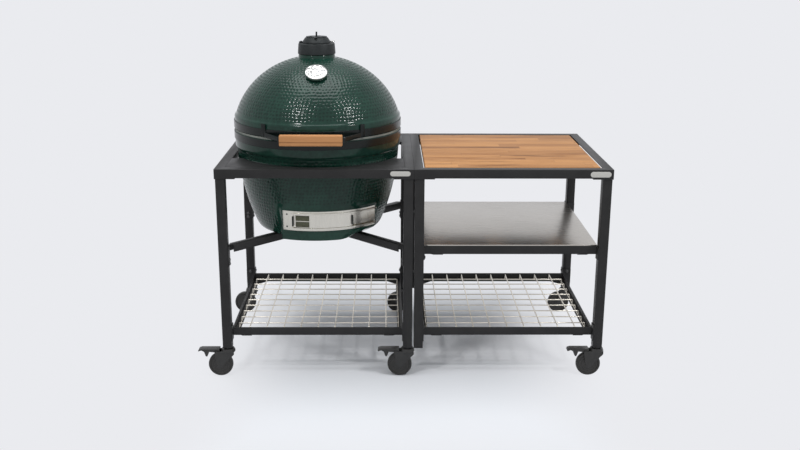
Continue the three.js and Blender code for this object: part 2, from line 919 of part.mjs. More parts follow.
// Handle: a strap behind the wooden bar whose ends reach back to feet on the upper band.
const handleZ = seamHeight + handleRise;
const handleDistance = bandOuter + handleClear + handleDepth / 2;

function handleGrip() {
  const [deep, high] = [handleDepth / 2, handleHeight / 2];
  const shape = new THREE.Shape();
  shape.moveTo(-deep + handleRound, -high);
  shape.lineTo(deep - handleRound, -high);
  shape.absarc(deep - handleRound, -high + handleRound, handleRound, -Math.PI / 2, 0, false);
  shape.absarc(deep - handleRound, high - handleRound, handleRound, 0, Math.PI / 2, false);
  shape.absarc(-deep + handleRound, high - handleRound, handleRound, Math.PI / 2, Math.PI, false);
  shape.absarc(-deep + handleRound, -high + handleRound, handleRound, Math.PI, 1.5 * Math.PI, false);
  const bar = raised(shape, -handleLength / 2, handleLength, 3);
  return bar.rotateX(Math.PI / 2).rotateZ(Math.PI / 2).translate(0, -handleDistance, handleZ);
}

function handleBracket() {
  const back = handleDistance - handleDepth / 2 - fitGap - handleStrapThick / 2;
  const footRing = bandOuter + fitGap + handleStrapThick / 2;
  const onRing = (turn) => [footRing * Math.sin(rad(turn)), -footRing * Math.cos(rad(turn))];
  const right = [
    [handleLength / 2 - handleStrapThick, -back],
    [handleLength / 2 + handleRound, -back + handleRound / 2],
    onRing(handleFootAngle - handleFootSpreadAngle / 2),
    onRing(handleFootAngle),
    onRing(handleFootAngle + handleFootSpreadAngle / 2),
  ];
  const path = [...mirrored(right), ...right];
  const strapBottom = handleZ - handleStrapHeight / 2;
  const strap = raised(strapOutline(path, handleStrapThick), strapBottom, handleStrapHeight);
  const feet = [-1, 1].map((sign) => arcPlate(
    bandOuter + fitGap, bandOuter + fitGap + handleStrapThick,
    sign * handleFootAngle - handleFootSpreadAngle / 2, handleFootSpreadAngle,
    domeZ + bandInset, handleFootHeight,
  ));
  return join(strap, ...feet);
}

// Hinge at the back: a bracket with ears and the pin on the base, an arm plate on the dome.
const hingeZ = seamHeight;
const hingeSpan = 2 * THREE.MathUtils.radToDeg(Math.asin(hingeWidth / 2 / bandOuter));
const hingePlateInner = bandOuter + 2 * fitGap;
const hingePlateOuter = hingePlateInner + hingeEarThick;

function hingeEar(x, plateFrom, plateTo) {
  const ear = new THREE.Shape();
  ear.moveTo(hingePlateInner + fitGap, plateFrom);
  ear.lineTo(hingePinBack, hingeZ - hingeEarRadius);
  ear.absarc(hingePinBack, hingeZ, hingeEarRadius, -Math.PI / 2, Math.PI / 2, false);
  ear.lineTo(hingePlateInner + fitGap, plateTo);
  const side = raised(ear, -hingeEarThick / 2, hingeEarThick, 4);
  return side.rotateX(Math.PI / 2).rotateZ(Math.PI / 2).translate(x, 0, 0);
}

function hingePlate(from, height) {
  return arcPlate(hingePlateInner, hingePlateOuter, halfTurnAngle - hingeSpan / 2, hingeSpan, from, height);
}

function hingeBracket() {
  const top = rimZ - bandInset;
  const plate = hingePlate(top - bandHeight, bandHeight);
  const ears = hingeEarOffsets.flatMap((x) => [-x, x]).map((x) => hingeEar(x, top - bandHeight, top));
  const pin = rodAlong("x", hingePinRadius, -hingeWidth / 2, hingeWidth / 2);
  return join(plate, ...ears, pin.translate(0, hingePinBack, hingeZ));
}

function hingeArm() {
  const bottom = domeZ + bandInset;
  const plate = hingePlate(bottom, bandHeight);
  const arms = [-hingeArmOffset, hingeArmOffset].map((x) => hingeEar(x, bottom, bottom + bandHeight));
  const bore = rodAlong("x", boreRadius(hingePinRadius), -hingeWidth, hingeWidth);
  return cut(join(plate, ...arms), bore.translate(0, hingePinBack, hingeZ));
}

// Draft door: a curved plate with rails, a solid slide and a window slide behind it.
const screenInner = draftRadius + draftPlay;
const doorInner = screenInner + draftSheet + draftSlideGap;
const railOuter = doorInner + draftSheet + draftPlay;

function draftFrame() {
  const inner = draftRadius - draftPlateThick;
  const full = 2 * draftPlateHalfAngle;
  const high = draftPlateHeight / 2;
  const plate = arcPlate(inner, draftRadius, -draftPlateHalfAngle, full, -high, draftPlateHeight);
  const opening = arcPlate(
    inner - draftPad, draftRadius + draftPad, draftOpeningStartAngle, draftOpeningAngle,
    -draftOpeningHeight / 2, draftOpeningHeight,
  );
  const railFrom = draftDoorHeight / 2 + fitGap;
  const railStart = draftOpeningStartAngle - 2;
  const railSpan = draftPlateHalfAngle - railStart;
  const rails = [-1, 1].flatMap((sign) => {
    const web = sign > 0 ? railFrom : -railFrom - draftLip / 2;
    const lip = sign > 0 ? railFrom - draftLip : -railFrom - draftLip / 2;
    return [
      arcPlate(draftRadius - fitGap, railOuter + fitGap, railStart, railSpan, web, draftLip / 2),
      arcPlate(railOuter, railOuter + draftSheet, railStart, railSpan, lip, 1.5 * draftLip),
    ];
  });
  return draftPlace(join(cut(plate, opening), ...rails));
}

function slideTab(inner, turn) {
  return arcPlate(inner, inner + draftTabReach, turn, draftTabAngle, -draftTabHeight / 2, draftTabHeight);
}

function draftDoor() {
  const start = draftOpeningStartAngle + draftDoorSetAngle;
  const slide = arcPlate(
    doorInner, doorInner + draftSheet, start, draftOpeningAngle, -draftDoorHeight / 2, draftDoorHeight,
  );
  return draftPlace(join(slide, slideTab(doorInner, start + draftOpeningAngle - draftTabAngle)));
}

const screenStartAngle = draftOpeningStartAngle - draftTabAngle;

function draftScreen() {
  const slide = arcPlate(
    screenInner, screenInner + draftSheet, screenStartAngle,
    draftOpeningAngle + draftTabAngle, -draftDoorHeight / 2, draftDoorHeight,
  );
  const clearHeight = draftOpeningHeight - 2 * windowBar;
  const rowHeight = (clearHeight - (windowRows - 1) * windowBar) / windowRows;
  const columnSpan = (draftOpeningAngle - (windowColumns + 1) * windowPostAngle) / windowColumns;
  const windows = [];
  for (let row = 0; row < windowRows; row += 1) {
    for (let column = 0; column < windowColumns; column += 1) {
      windows.push(arcPlate(
        screenInner - draftPad, screenInner + draftPad,
        draftOpeningStartAngle + windowPostAngle + column * (columnSpan + windowPostAngle), columnSpan,
        -clearHeight / 2 + row * (rowHeight + windowBar), rowHeight,
      ));
    }
  }
  return draftPlace(cut(slide, ...windows));
}

// The screen's pull is an upright strip of its own on the sheet's free edge.
function draftScreenTab() {
  const gapAngle = THREE.MathUtils.radToDeg(fitGap / screenInner);
  return draftPlace(slideTab(screenInner, screenStartAngle - gapAngle - draftTabAngle));
}

// Cap: collar over the neck, a lid that swings aside on a corner pin, a damper disc on the lid.
function capCollar() {
  const bottom = neckShoulderTop + fitGap;
  const shelfZ = neckTop + fitGap;
  const collar = turned([
    [neckRadius + fitGap, bottom],
    [capBottomRadius, bottom],
    [capTopRadius, capTop],
    [lidCrownRadius + capWall, capTop],
    [lidCrownRadius, shelfZ + capShelf],
    [lidCrownRadius, shelfZ],
    [neckRadius + fitGap, shelfZ],
  ]);
  const pivotTop = capTop + lidEarThick + 2 * fitGap;
  const pivot = rodAlong("z", lidPivotRadius, capTop - overrun, pivotTop + overrun);
  return join(collar, pivot.translate(-lidPivotBack, 0, 0));
}

function ventHoles() {
  const holes = [];
  for (let i = 0; i < lidHoleCount; i += 1) {
    const turn = (2 * Math.PI * i) / lidHoleCount;
    const hole = rodAlong("z", lidHoleRadius, capTop - overrun, capPinTop);
    holes.push(hole.translate(lidHoleCircle * Math.cos(turn), lidHoleCircle * Math.sin(turn), 0));
  }
  return holes;
}

function capLid() {
  const bottom = capTop + fitGap;
  const top = bottom + lidHeight;
  const cover = turned([
    [0, top],
    [lidCrownRadius, top],
    [lidRadius, bottom + lidWall],
    [lidRadius, bottom],
    [lidRadius - lidWall, bottom],
    [lidCrownRadius - lidWall, top - lidWall],
    [0, top - lidWall],
  ], innerSegments);
  const earDisc = rodAlong("z", lidEarRadius, bottom, bottom + lidEarThick).translate(-lidPivotBack, 0, 0);
  const pivotHole = rodAlong("z", boreRadius(lidPivotRadius), bottom - overrun, top);
  const pin = rodAlong("z", capPinRadius, top - overrun, capPinTop);
  const rodZ = bottom + lidRodRise;
  const rod = rodAlong("x", lidRodRadius, lidCrownRadius, lidRadius + lidRodLength).translate(0, 0, rodZ);
  const holes = [pivotHole.translate(-lidPivotBack, 0, 0), ...ventHoles()];
  return join(cut(join(cover, earDisc), ...holes), pin, rod);
}

function capDamper() {
  const bottom = capTop + lidHeight + 2 * fitGap;
  const body = rodAlong("z", damperRadius, bottom, bottom + damperThick, innerSegments);
  const tab = block(
    damperRadius - overrun, damperRadius + damperTab, -damperTab / 2, damperTab / 2,
    bottom, bottom + damperThick,
  ).rotateZ(-Math.PI / 2);
  const bore = rodAlong("z", boreRadius(capPinRadius), bottom - overrun, capPinTop);
  return cut(join(body, tab), bore, ...ventHoles());
}

function lidHandle() {
  const z = capTop + fitGap + lidRodRise;
  const radius = windingRadius(lidRodRadius, lidCoilWire);
  const wound = coil("lid_handle", radius, lidCoilWire, lidCoilTurns, lidCoilLength);
  return wound.translate(lidRadius + lidRodLength - lidCoilLength / 2, 0, z);
}

// Thermometer: case with stem and nut, glass and pointer, made about Z with the dial facing up.
function thermometerCase() {
  const back = dialStandoff;
  const front = back + dialDepth;
  return dialPlace(turned([
    [0, -dialStemLength],
    [dialStemRadius, -dialStemLength],
    [dialStemRadius, fitGap],
    [dialNutRadius, fitGap],
    [dialNutRadius, back],
    [dialRadius - dialRim, back],
    [dialRadius, back + dialRim],
    [dialRadius, front],
    [dialRadius - dialRim, front],
    [dialRadius - dialRim, front - dialRecess],
    [0, front - dialRecess],
  ], innerSegments));
}

function thermometerPointer() {
  const floor = dialStandoff + dialDepth - dialRecess + fitGap;
  const arrow = outline([
    [-pointerWidth / 4, -pointerTail],
    [pointerWidth / 4, -pointerTail],
    [pointerWidth / 2, 0],
    [0, pointerLength],
    [-pointerWidth / 2, 0],
  ]);
  const hub = rodAlong("z", pointerHubRadius, floor, floor + 2 * pointerThick);
  const pointer = join(raised(arrow, floor + pointerThick / 2, pointerThick), hub);
  return dialPlace(pointer.rotateZ(rad(pointerRestAngle)));
}

function thermometerGlass() {
  const top = dialStandoff + dialDepth - fitGap;
  return dialPlace(rodAlong("z", dialRadius - dialRim - fitGap, top - dialGlassThick, top, innerSegments));
}

// Fire parts: the firebox stands on the base's floor, the ring on the firebox, the grid on the ring.
const fireboxBottom = footZ + baseFloor + fitGap;

function fireRadiusAt(z) {
  return baseRadiusAt(z) - baseWall - fireboxAir;
}

function firebox() {
  const outerBottom = footRadius - baseWall - fireboxAir;
  const rise = fireboxTop - fireboxBottom;
  const riseShares = [0.14, 0.5, 1];
  const heights = riseShares.map((share) => fireboxBottom + share * rise);
  const outer = heights.map((z) => [fireRadiusAt(z), z]);
  const inner = outer.map(([radius, z]) => [radius - fireboxWall, z]).reverse();
  const seat = grateHeight - fitGap;
  const bowl = turned([
    [fireboxHoleRadius, fireboxBottom],
    [outerBottom, fireboxBottom],
    ...outer,
    ...inner.slice(0, 2),
    [grateRadius + 2 * fitGap, seat + grateThick],
    [grateRadius + 2 * fitGap, seat],
    [grateRadius - grateRim, seat],
    [grateRadius - grateRim - fireboxWall, fireboxBottom + fireboxFloor],
    [fireboxHoleRadius, fireboxBottom + fireboxFloor],
  ], innerSegments);
  return cut(bowl, draftHole(fireboxHoleRadius * 2, draftRadius, draftOpeningHeight));
}

function fireRing() {
  const bottom = fireboxTop + fitGap;
  const outer = fireRadiusAt(fireboxTop);
  return turned([
    [outer - fireboxWall, bottom],
    [outer, bottom],
    [outer + fireboxAir, fireRingTop],
    [outer + fireboxAir - fireRingWall, fireRingTop],
  ], innerSegments);
}

function fireGrate() {
  const plate = rodAlong("z", grateRadius, grateHeight, grateHeight + grateThick, innerSegments);
  const clear = grateRadius - grateRim;
  const pitch = (2 * clear) / grateSlotCount;
  const slots = [];
  for (let i = 0; i < grateSlotCount; i += 1) {
    const y = (i - (grateSlotCount - 1) / 2) * pitch;
    const reach = Math.sqrt(Math.max(clear * clear - Math.pow(Math.abs(y) + grateSlotWidth / 2, 2), 0));
    [-1, 1].forEach((sign) => {
      const [near, far] = [grateRim / 2, reach].map((x) => sign * x);
      slots.push(block(
        Math.min(near, far), Math.max(near, far), y - grateSlotWidth / 2, y + grateSlotWidth / 2,
        grateHeight - overrun, grateHeight + grateThick + overrun,
      ));
    });
  }
  return cut(plate, ...slots);
}

function cookingGrid() {
  const bottom = fireRingTop + fitGap;
  const middle = bottom + gridWire;
  const ring = turned([
    [gridRadius - gridWire, bottom],
    [gridRadius - gridWire, middle],
    [gridRadius, middle],
    [gridRadius, bottom],
  ], innerSegments);
  const pitch = (2 * gridRadius) / (gridBars + 1);
  const bars = [];
  for (let i = 0; i < gridBars; i += 1) {
    const x = (i - (gridBars - 1) / 2) * pitch;
    const reach = Math.sqrt(gridRadius * gridRadius - x * x) - gridWire / 2;
    bars.push(block(x - gridWire / 2, x + gridWire / 2, -reach, reach, middle, middle + gridWire));
  }
  const crossReach = gridRadius - gridWire / 2;
  bars.push(block(-crossReach, crossReach, -gridWire / 2, gridWire / 2, bottom, bottom + gridWire));
  return join(ring, ...bars);
}

// Assembly
const table = new THREE.Group();
const grillModule = new THREE.Group();
const sideModule = new THREE.Group();
grillModule.position.x = -half;
sideModule.position.x = half;
table.add(grillModule, sideModule);

const corners = [
  ["front_left", -1, -1],
  ["front_right", 1, -1],
  ["back_left", -1, 1],
  ["back_right", 1, 1],
];

function addLegs(parent, prefix, hasCaster) {
  for (const [place, x, y] of corners) {
    const mesh = piece(parent, `${prefix}_leg_${place}`, leg(hasCaster(x)), powderCoat);
    mesh.position.set(x * legCentre, y * legCentre, 0);
  }
}

function addCaster(parent, place, x, y, braked) {
  const group = new THREE.Group();
  group.position.set(x * legCentre, y * legCentre, 0);
  parent.add(group);
  piece(group, `caster_fork_${place}`, casterFork(braked), blackNylon);
  const wheel = piece(group, `caster_wheel_${place}`, casterWheel(), tyreRubber);
  wheel.position.set(-casterTrail, 0, wheelFlat);
  if (braked) {
    piece(group, `brake_pedal_${place}`, brakePedal(), blackNylon);
  }
}

piece(grillModule, "grill_top_frame", topFrame(), powderCoat);
piece(grillModule, "deck_plate", deckPlate(), powderCoat);
addLegs(grillModule, "grill", () => true);
piece(grillModule, "grill_lower_frame", lowerFrame(), powderCoat);
piece(grillModule, "grill_wire_shelf", wireShelf(), wireSteel);
piece(grillModule, "cross_brace", crossBrace(), powderCoat);

piece(sideModule, "side_top_frame", topFrame(), powderCoat);
piece(sideModule, "wood_worktop", woodWorktop(), acacia);
addLegs(sideModule, "side", (x) => x > 0);
piece(sideModule, "side_mid_frame", midFrame(), powderCoat);
piece(sideModule, "steel_shelf", steelShelf(), brushedSteel);
piece(sideModule, "side_lower_frame", lowerFrame(), powderCoat);
piece(sideModule, "side_wire_shelf", wireShelf(), wireSteel);

addCaster(grillModule, "front_left", -1, -1, true);
addCaster(grillModule, "front_middle", 1, -1, true);
addCaster(sideModule, "front_right", 1, -1, true);
addCaster(grillModule, "back_left", -1, 1, false);
addCaster(grillModule, "back_middle", 1, 1, false);
addCaster(sideModule, "back_right", 1, 1, false);

const kamado = new THREE.Group();
kamado.position.x = -kamadoShift;
grillModule.add(kamado);
piece(kamado, "base_shell", baseShell(), glaze);
piece(kamado, "dome_shell", domeShell(), glaze);
const gasketInner = rimRadius - baseWall + fitGap;
piece(kamado, "rim_gasket", ringSection(
  gasketInner, gasketInner + gasketWidth, rimZ + fitGap, domeZ - fitGap,
), felt);
piece(kamado, "lower_band", lowerBand(), powderCoat);
piece(kamado, "upper_band", upperBand(), powderCoat);
piece(kamado, "handle_bracket", handleBracket(), powderCoat);
piece(kamado, "handle_grip", handleGrip(), acacia);
piece(kamado, "hinge_bracket", hingeBracket(), powderCoat);
piece(kamado, "hinge_arm", hingeArm(), powderCoat);
const springCentre = (hingeEarOffsets[1] + hingeArmOffset) / 2;
for (const [side, sign] of [["left", -1], ["right", 1]]) {
  const name = `hinge_spring_${side}`;
  const radius = windingRadius(hingePinRadius, springWire);
  const wound = coil(name, radius, springWire, springTurns, springLength);
  piece(kamado, name, wound, chromeSteel).position.set(sign * springCentre, hingePinBack, hingeZ);
}
piece(kamado, "draft_frame", draftFrame(), brushedSteel);
piece(kamado, "draft_door", draftDoor(), brushedSteel);
piece(kamado, "draft_screen", draftScreen(), brushedSteel);
piece(kamado, "draft_screen_tab", draftScreenTab(), brushedSteel);
piece(kamado, "cap_collar", capCollar(), castIron);
piece(kamado, "cap_lid", capLid(), castIron);
piece(kamado, "cap_damper", capDamper(), castIron);
piece(kamado, "lid_handle", lidHandle(), chromeSteel);
piece(kamado, "thermometer_case", thermometerCase(), dialWhite);
piece(kamado, "thermometer_pointer", thermometerPointer(), pointerRed);
piece(kamado, "thermometer_glass", thermometerGlass(), clearGlass);
piece(kamado, "firebox", firebox(), fireClay);
piece(kamado, "fire_ring", fireRing(), fireClay);
piece(kamado, "fire_grate", fireGrate(), castIron);
piece(kamado, "cooking_grid", cookingGrid(), wireSteel);

// The origin is the middle of the whole object's footprint box, on the floor.
const reach = new THREE.Box3().setFromObject(table);
table.position.set(-(reach.min.x + reach.max.x) / 2, -(reach.min.y + reach.max.y) / 2, 0);

export default table;
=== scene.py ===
# %% [markdown]
# A kamado grill table: two square steel modules that stand side by side on casters. The left one
# carries a large oval ceramic grill with a deep green glaze, the right one a wooden worktop,
# a steel shelf and a wire shelf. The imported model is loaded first. It fixes every size and place, so
# a piece that is made here goes where its solid is.

# %% Load the frame
import json
import math
import random

import bpy
from mathutils import Matrix, Vector

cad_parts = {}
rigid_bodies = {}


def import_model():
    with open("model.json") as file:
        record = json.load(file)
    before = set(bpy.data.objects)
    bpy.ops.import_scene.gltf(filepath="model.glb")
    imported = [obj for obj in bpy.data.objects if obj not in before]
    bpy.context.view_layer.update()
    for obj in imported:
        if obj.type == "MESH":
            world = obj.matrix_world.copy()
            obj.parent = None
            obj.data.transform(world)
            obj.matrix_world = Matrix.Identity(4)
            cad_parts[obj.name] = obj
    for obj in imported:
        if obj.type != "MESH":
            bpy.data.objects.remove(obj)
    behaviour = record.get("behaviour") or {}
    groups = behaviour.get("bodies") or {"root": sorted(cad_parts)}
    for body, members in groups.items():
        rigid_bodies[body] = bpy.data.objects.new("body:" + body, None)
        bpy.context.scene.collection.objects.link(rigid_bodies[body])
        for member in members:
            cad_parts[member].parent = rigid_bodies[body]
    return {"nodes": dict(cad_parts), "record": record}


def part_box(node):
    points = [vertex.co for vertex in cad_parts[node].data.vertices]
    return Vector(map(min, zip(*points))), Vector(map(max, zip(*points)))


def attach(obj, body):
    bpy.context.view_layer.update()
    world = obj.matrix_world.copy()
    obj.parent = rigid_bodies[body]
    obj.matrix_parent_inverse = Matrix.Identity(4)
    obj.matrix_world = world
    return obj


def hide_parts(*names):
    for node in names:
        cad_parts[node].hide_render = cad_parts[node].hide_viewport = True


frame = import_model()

scene = bpy.context.scene
nodes = frame["nodes"]
record = frame["record"]
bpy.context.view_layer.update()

# %% [markdown]
# Every size below is a real one in metres, written as millimetres times mm. The middle of each module
# and the kamado's axis are read from the frame, so the looks follow the solids if those move.

# %% Places that the pieces share
mm = 0.001
weld = 0.01 * mm
wheel_names = ["front_left", "front_middle", "front_right", "back_left", "back_middle", "back_right"]
braked_names = wheel_names[:3]
grill_low, grill_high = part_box("grill_top_frame")
side_low, side_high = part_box("side_top_frame")
grill_middle = (grill_low + grill_high) / 2
side_middle = (side_low + side_high) / 2
frame_half = (grill_high.x - grill_low.x) / 2
dome_low, dome_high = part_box("dome_shell")
kamado = Vector(((dome_low.x + dome_high.x) / 2, (dome_low.y + dome_high.y) / 2, 0))
leg_half = 18 * mm
leg_place = frame_half - 3.3 * mm - leg_half
print("kamado axis", [round(value, 4) for value in kamado])


def at(x, y, z):
    """A point beside the kamado's axis, given in millimetres."""
    return kamado + Vector((x, y, z)) * mm


def span_of(node):
    """The lowest and the highest point of a CAD node, in millimetres."""
    low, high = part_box(node)
    return low.z / mm, high.z / mm


body_of = {node: body for body, members in record["behaviour"]["bodies"].items() for node in members}

# %% [markdown]
# A few helpers stand for what the hand does in Blender: select one thing, work in edit mode, apply a
# modifier, round the edges. They keep the modelling cells short.

# %% Helpers for modelling
def only(obj):
    """Selects this object alone and makes it the active one."""
    for other in bpy.context.view_layer.objects:
        other.select_set(False)
    obj.hide_set(False)
    obj.select_set(True)
    bpy.context.view_layer.objects.active = obj
    return obj


class Edit:
    """Edit mode for one object, with everything selected at the start."""

    def __init__(self, obj, select="VERT"):
        self.obj = obj
        self.select = select

    def __enter__(self):
        only(self.obj)
        bpy.ops.object.mode_set(mode="EDIT")
        bpy.ops.mesh.select_mode(type=self.select)
        bpy.ops.mesh.select_all(action="SELECT")
        return self.obj.data

    def __exit__(self, *error):
        bpy.ops.object.mode_set(mode="OBJECT")


def pick(obj, test, kind):
    """Selects the vertices, or the edges by their two ends, that pass a test, and leaves the rest."""
    bpy.ops.object.mode_set(mode="OBJECT")
    mesh = obj.data
    for group in (mesh.vertices, mesh.edges, mesh.polygons):
        for item in group:
            item.select = False
    if kind == "VERT":
        for vertex in mesh.vertices:
            vertex.select = test(vertex.co)
    else:
        for edge in mesh.edges:
            edge.select = test(*(mesh.vertices[i].co for i in edge.vertices))
    bpy.ops.object.mode_set(mode="EDIT")
    bpy.ops.mesh.select_mode(type=kind)


def modified(obj, kind, **settings):
    """Adds a modifier, sets it and applies it."""
    only(obj)
    bpy.ops.object.modifier_add(type=kind)
    modifier = obj.modifiers[-1]
    for name, value in settings.items():
        setattr(modifier, name, value)
    bpy.ops.object.modifier_apply(modifier=modifier.name)
    return obj


def rounded(obj, width, segments=2, angle=30):
    """Rounds every edge that is sharper than an angle."""
    return modified(
        obj, "BEVEL", width=width, segments=segments, limit_method="ANGLE",
        angle_limit=math.radians(angle), use_clamp_overlap=True, miter_outer="MITER_ARC",
    )


def smooth(obj, angle=35):
    only(obj)
    bpy.ops.object.shade_smooth_by_angle(angle=math.radians(angle))
    return obj


def placed(obj, name):
    """Puts an object's place, turn and size into its mesh and names it."""
    only(obj)
    bpy.ops.object.transform_apply(location=True, rotation=True, scale=True)
    obj.name = name
    obj.data.name = name
    return obj


def joined(name, pieces):
    """Joins several meshes into one piece."""
    only(pieces[0])
    for piece in pieces[1:]:
        piece.select_set(True)
    bpy.ops.object.join()
    return placed(pieces[0], name)


def copy_at(obj, name, move=(0, 0, 0), turn=0, axis="Z"):
    """A copy with its own mesh, turned about an axis of the scene and then moved."""
    other = bpy.data.objects.new(name, obj.data.copy())
    scene.collection.objects.link(other)
    other.data.transform(Matrix.Translation(move) @ Matrix.Rotation(turn, 4, axis))
    return other


def cut_by(obj, *tools):
    """Takes the tools' shapes out of an object and deletes the tools."""
    for tool in tools:
        modified(obj, "BOOLEAN", operation="DIFFERENCE", object=tool, solver="EXACT")
        bpy.data.objects.remove(tool)
    return obj


def settle(obj, finish, *replaced, body=None, slot=None):
    """Gives a finished piece its material, its body and the nodes that it stands for. The slot is not used.
    """
    obj.data.materials.clear()
    obj.data.materials.append(finish)
    for face in obj.data.polygons:
        face.material_index = 0
    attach(obj, body or body_of[replaced[0]])
    if replaced:
        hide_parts(*replaced)
    return obj

# %% [markdown]
# Round pieces are turned, as on a lathe: an outline is drawn point by point beside the axis, and the
# Screw modifier carries it round. An outline that starts and ends on the axis gives a closed solid, and
# one that comes back to its first point gives a ring.

# %% Turned pieces, curved plates, blocks and wires
def drawn(name, points):
    """A chain of edges drawn by extruding one vertex from point to point."""
    bpy.ops.mesh.primitive_plane_add(size=1 * mm, location=points[0])
    obj = bpy.context.object
    with Edit(obj):
        bpy.ops.mesh.merge(type="CENTER")
        for before, after in zip(points, points[1:]):
            step = Vector(after) - Vector(before)
            bpy.ops.mesh.extrude_region_move(TRANSFORM_OT_translate={"value": step})
    return placed(obj, name)


def turned(name, outline, steps=128, centre=(0, 0, 0), axis="Z", crease=35):
    """A solid of revolution. The outline holds (radius, height) pairs in millimetres."""
    if axis == "Z":
        points = [(radius * mm, 0, height * mm) for radius, height in outline]
    else:
        points = [(radius * mm, height * mm, 0) for radius, height in outline]
    if outline[0][0] > 0 or outline[-1][0] > 0:
        points.append(points[0])
    obj = drawn(name, points)
    modified(
        obj, "SCREW", axis=axis, angle=2 * math.pi, steps=steps, render_steps=steps, screw_offset=0,
        use_merge_vertices=True, merge_threshold=weld,
    )
    with Edit(obj):
        bpy.ops.mesh.remove_doubles(threshold=weld)
        bpy.ops.mesh.normals_make_consistent(inside=False)
    obj.data.transform(Matrix.Translation(centre))
    return smooth(obj, crease)


def arc_points(centre, radius, start, end, count=6):
    """Points of an arc in an outline, for rounded corners. Angles are in degrees."""
    turn = [math.radians(start + (end - start) * i / count) for i in range(count + 1)]
    return [(centre[0] + radius * math.cos(a), centre[1] + radius * math.sin(a)) for a in turn]


def curved_plate(name, inner, outer, start, span, low, high, step=1.0):
    """A plate bent round the kamado's axis: an upright strip, spun through an angle in degrees."""
    bpy.ops.mesh.primitive_plane_add(size=1, location=(0, 0, 0), rotation=(0, math.pi / 2, 0))
    obj = placed(bpy.context.object, name)
    obj.data.transform(Matrix.Diagonal((1, (outer - inner) * mm, (high - low) * mm, 1)))
    obj.data.transform(Matrix.Translation((0, -(outer + inner) / 2 * mm, (high + low) / 2 * mm)))
    obj.data.transform(Matrix.Rotation(math.radians(start), 4, "Z"))
    obj.data.transform(Matrix.Translation(kamado))
    with Edit(obj, "FACE"):
        bpy.ops.mesh.spin(
            steps=max(2, round(span / step)), angle=-math.radians(span), center=kamado, axis=(0, 0, 1)
        )
        bpy.ops.mesh.select_all(action="SELECT")
        bpy.ops.mesh.remove_doubles(threshold=weld)
        bpy.ops.mesh.normals_make_consistent(inside=False)
    return obj


def block(name, low, high):
    """A box between two corners, as the start of a piece."""
    low, high = Vector(low), Vector(high)
    bpy.ops.mesh.primitive_cube_add(size=1, location=(low + high) / 2)
    obj = bpy.context.object
    obj.scale = high - low
    return placed(obj, name)


def rod(name, start, end, radius, vertices=24):
    """A round bar between two points."""
    start, end = Vector(start), Vector(end)
    bpy.ops.mesh.primitive_cylinder_add(
        vertices=vertices, radius=radius, depth=(end - start).length, location=(start + end) / 2,
        rotation=(end - start).to_track_quat("Z", "Y").to_euler(),
    )
    return placed(bpy.context.object, name)


def thickened(obj, name, radius, resolution=3, caps=False):
    """Gives a chain of edges a round thickness: it becomes a curve and then a mesh again."""
    only(obj)
    bpy.ops.object.convert(target="CURVE")
    curve = bpy.context.object.data
    curve.bevel_depth = radius
    curve.bevel_resolution = resolution
    curve.use_fill_caps = caps
    bpy.ops.object.convert(target="MESH")
    return placed(bpy.context.object, name)


def wire(name, points, radius, bend):
    """A round wire along a path whose corners are bent with a radius."""
    obj = drawn(name, points)
    corners = [Vector(point) for point in points[1:-1]]
    with Edit(obj):
        pick(obj, lambda place: any((place - corner).length < weld for corner in corners), "VERT")
        bpy.ops.mesh.bevel(offset=bend, segments=4, affect="VERTICES")
    return smooth(thickened(obj, name, radius, caps=True), 50)

# %% [markdown]
# Shader maths reads best as plain sums. This small class wraps a socket of the node tree, so that an
# expression on values adds the Math nodes by itself. Everything else comes from one method, add.

# %% Shader values and the finish class
class Value:
    """A socket that takes part in sums."""

    def __init__(self, finish, socket):
        self.finish = finish
        self.socket = socket

    def maths(self, operation, other=0.0, turned_round=False):
        pair = (other, self) if turned_round else (self, other)
        return self.finish.add("ShaderNodeMath", {"operation": operation}, {0: pair[0], 1: pair[1]})

    def __add__(self, other):
        return self.maths("ADD", other)

    def __sub__(self, other):
        return self.maths("SUBTRACT", other)

    def __rsub__(self, other):
        return self.maths("SUBTRACT", other, True)

    def __mul__(self, other):
        return self.maths("MULTIPLY", other)

    def __truediv__(self, other):
        return self.maths("DIVIDE", other)

    __radd__ = __add__
    __rmul__ = __mul__

    def clamped(self):
        return self.finish.add("ShaderNodeClamp", {}, {0: self})

    def between(self, low, high):
        """0 below low, 1 above high, and a smooth rise from one to the other."""
        settings = {"interpolation_type": "SMOOTHSTEP"}
        values = {"Value": self, "From Min": low, "From Max": high}
        return self.finish.add("ShaderNodeMapRange", settings, values)


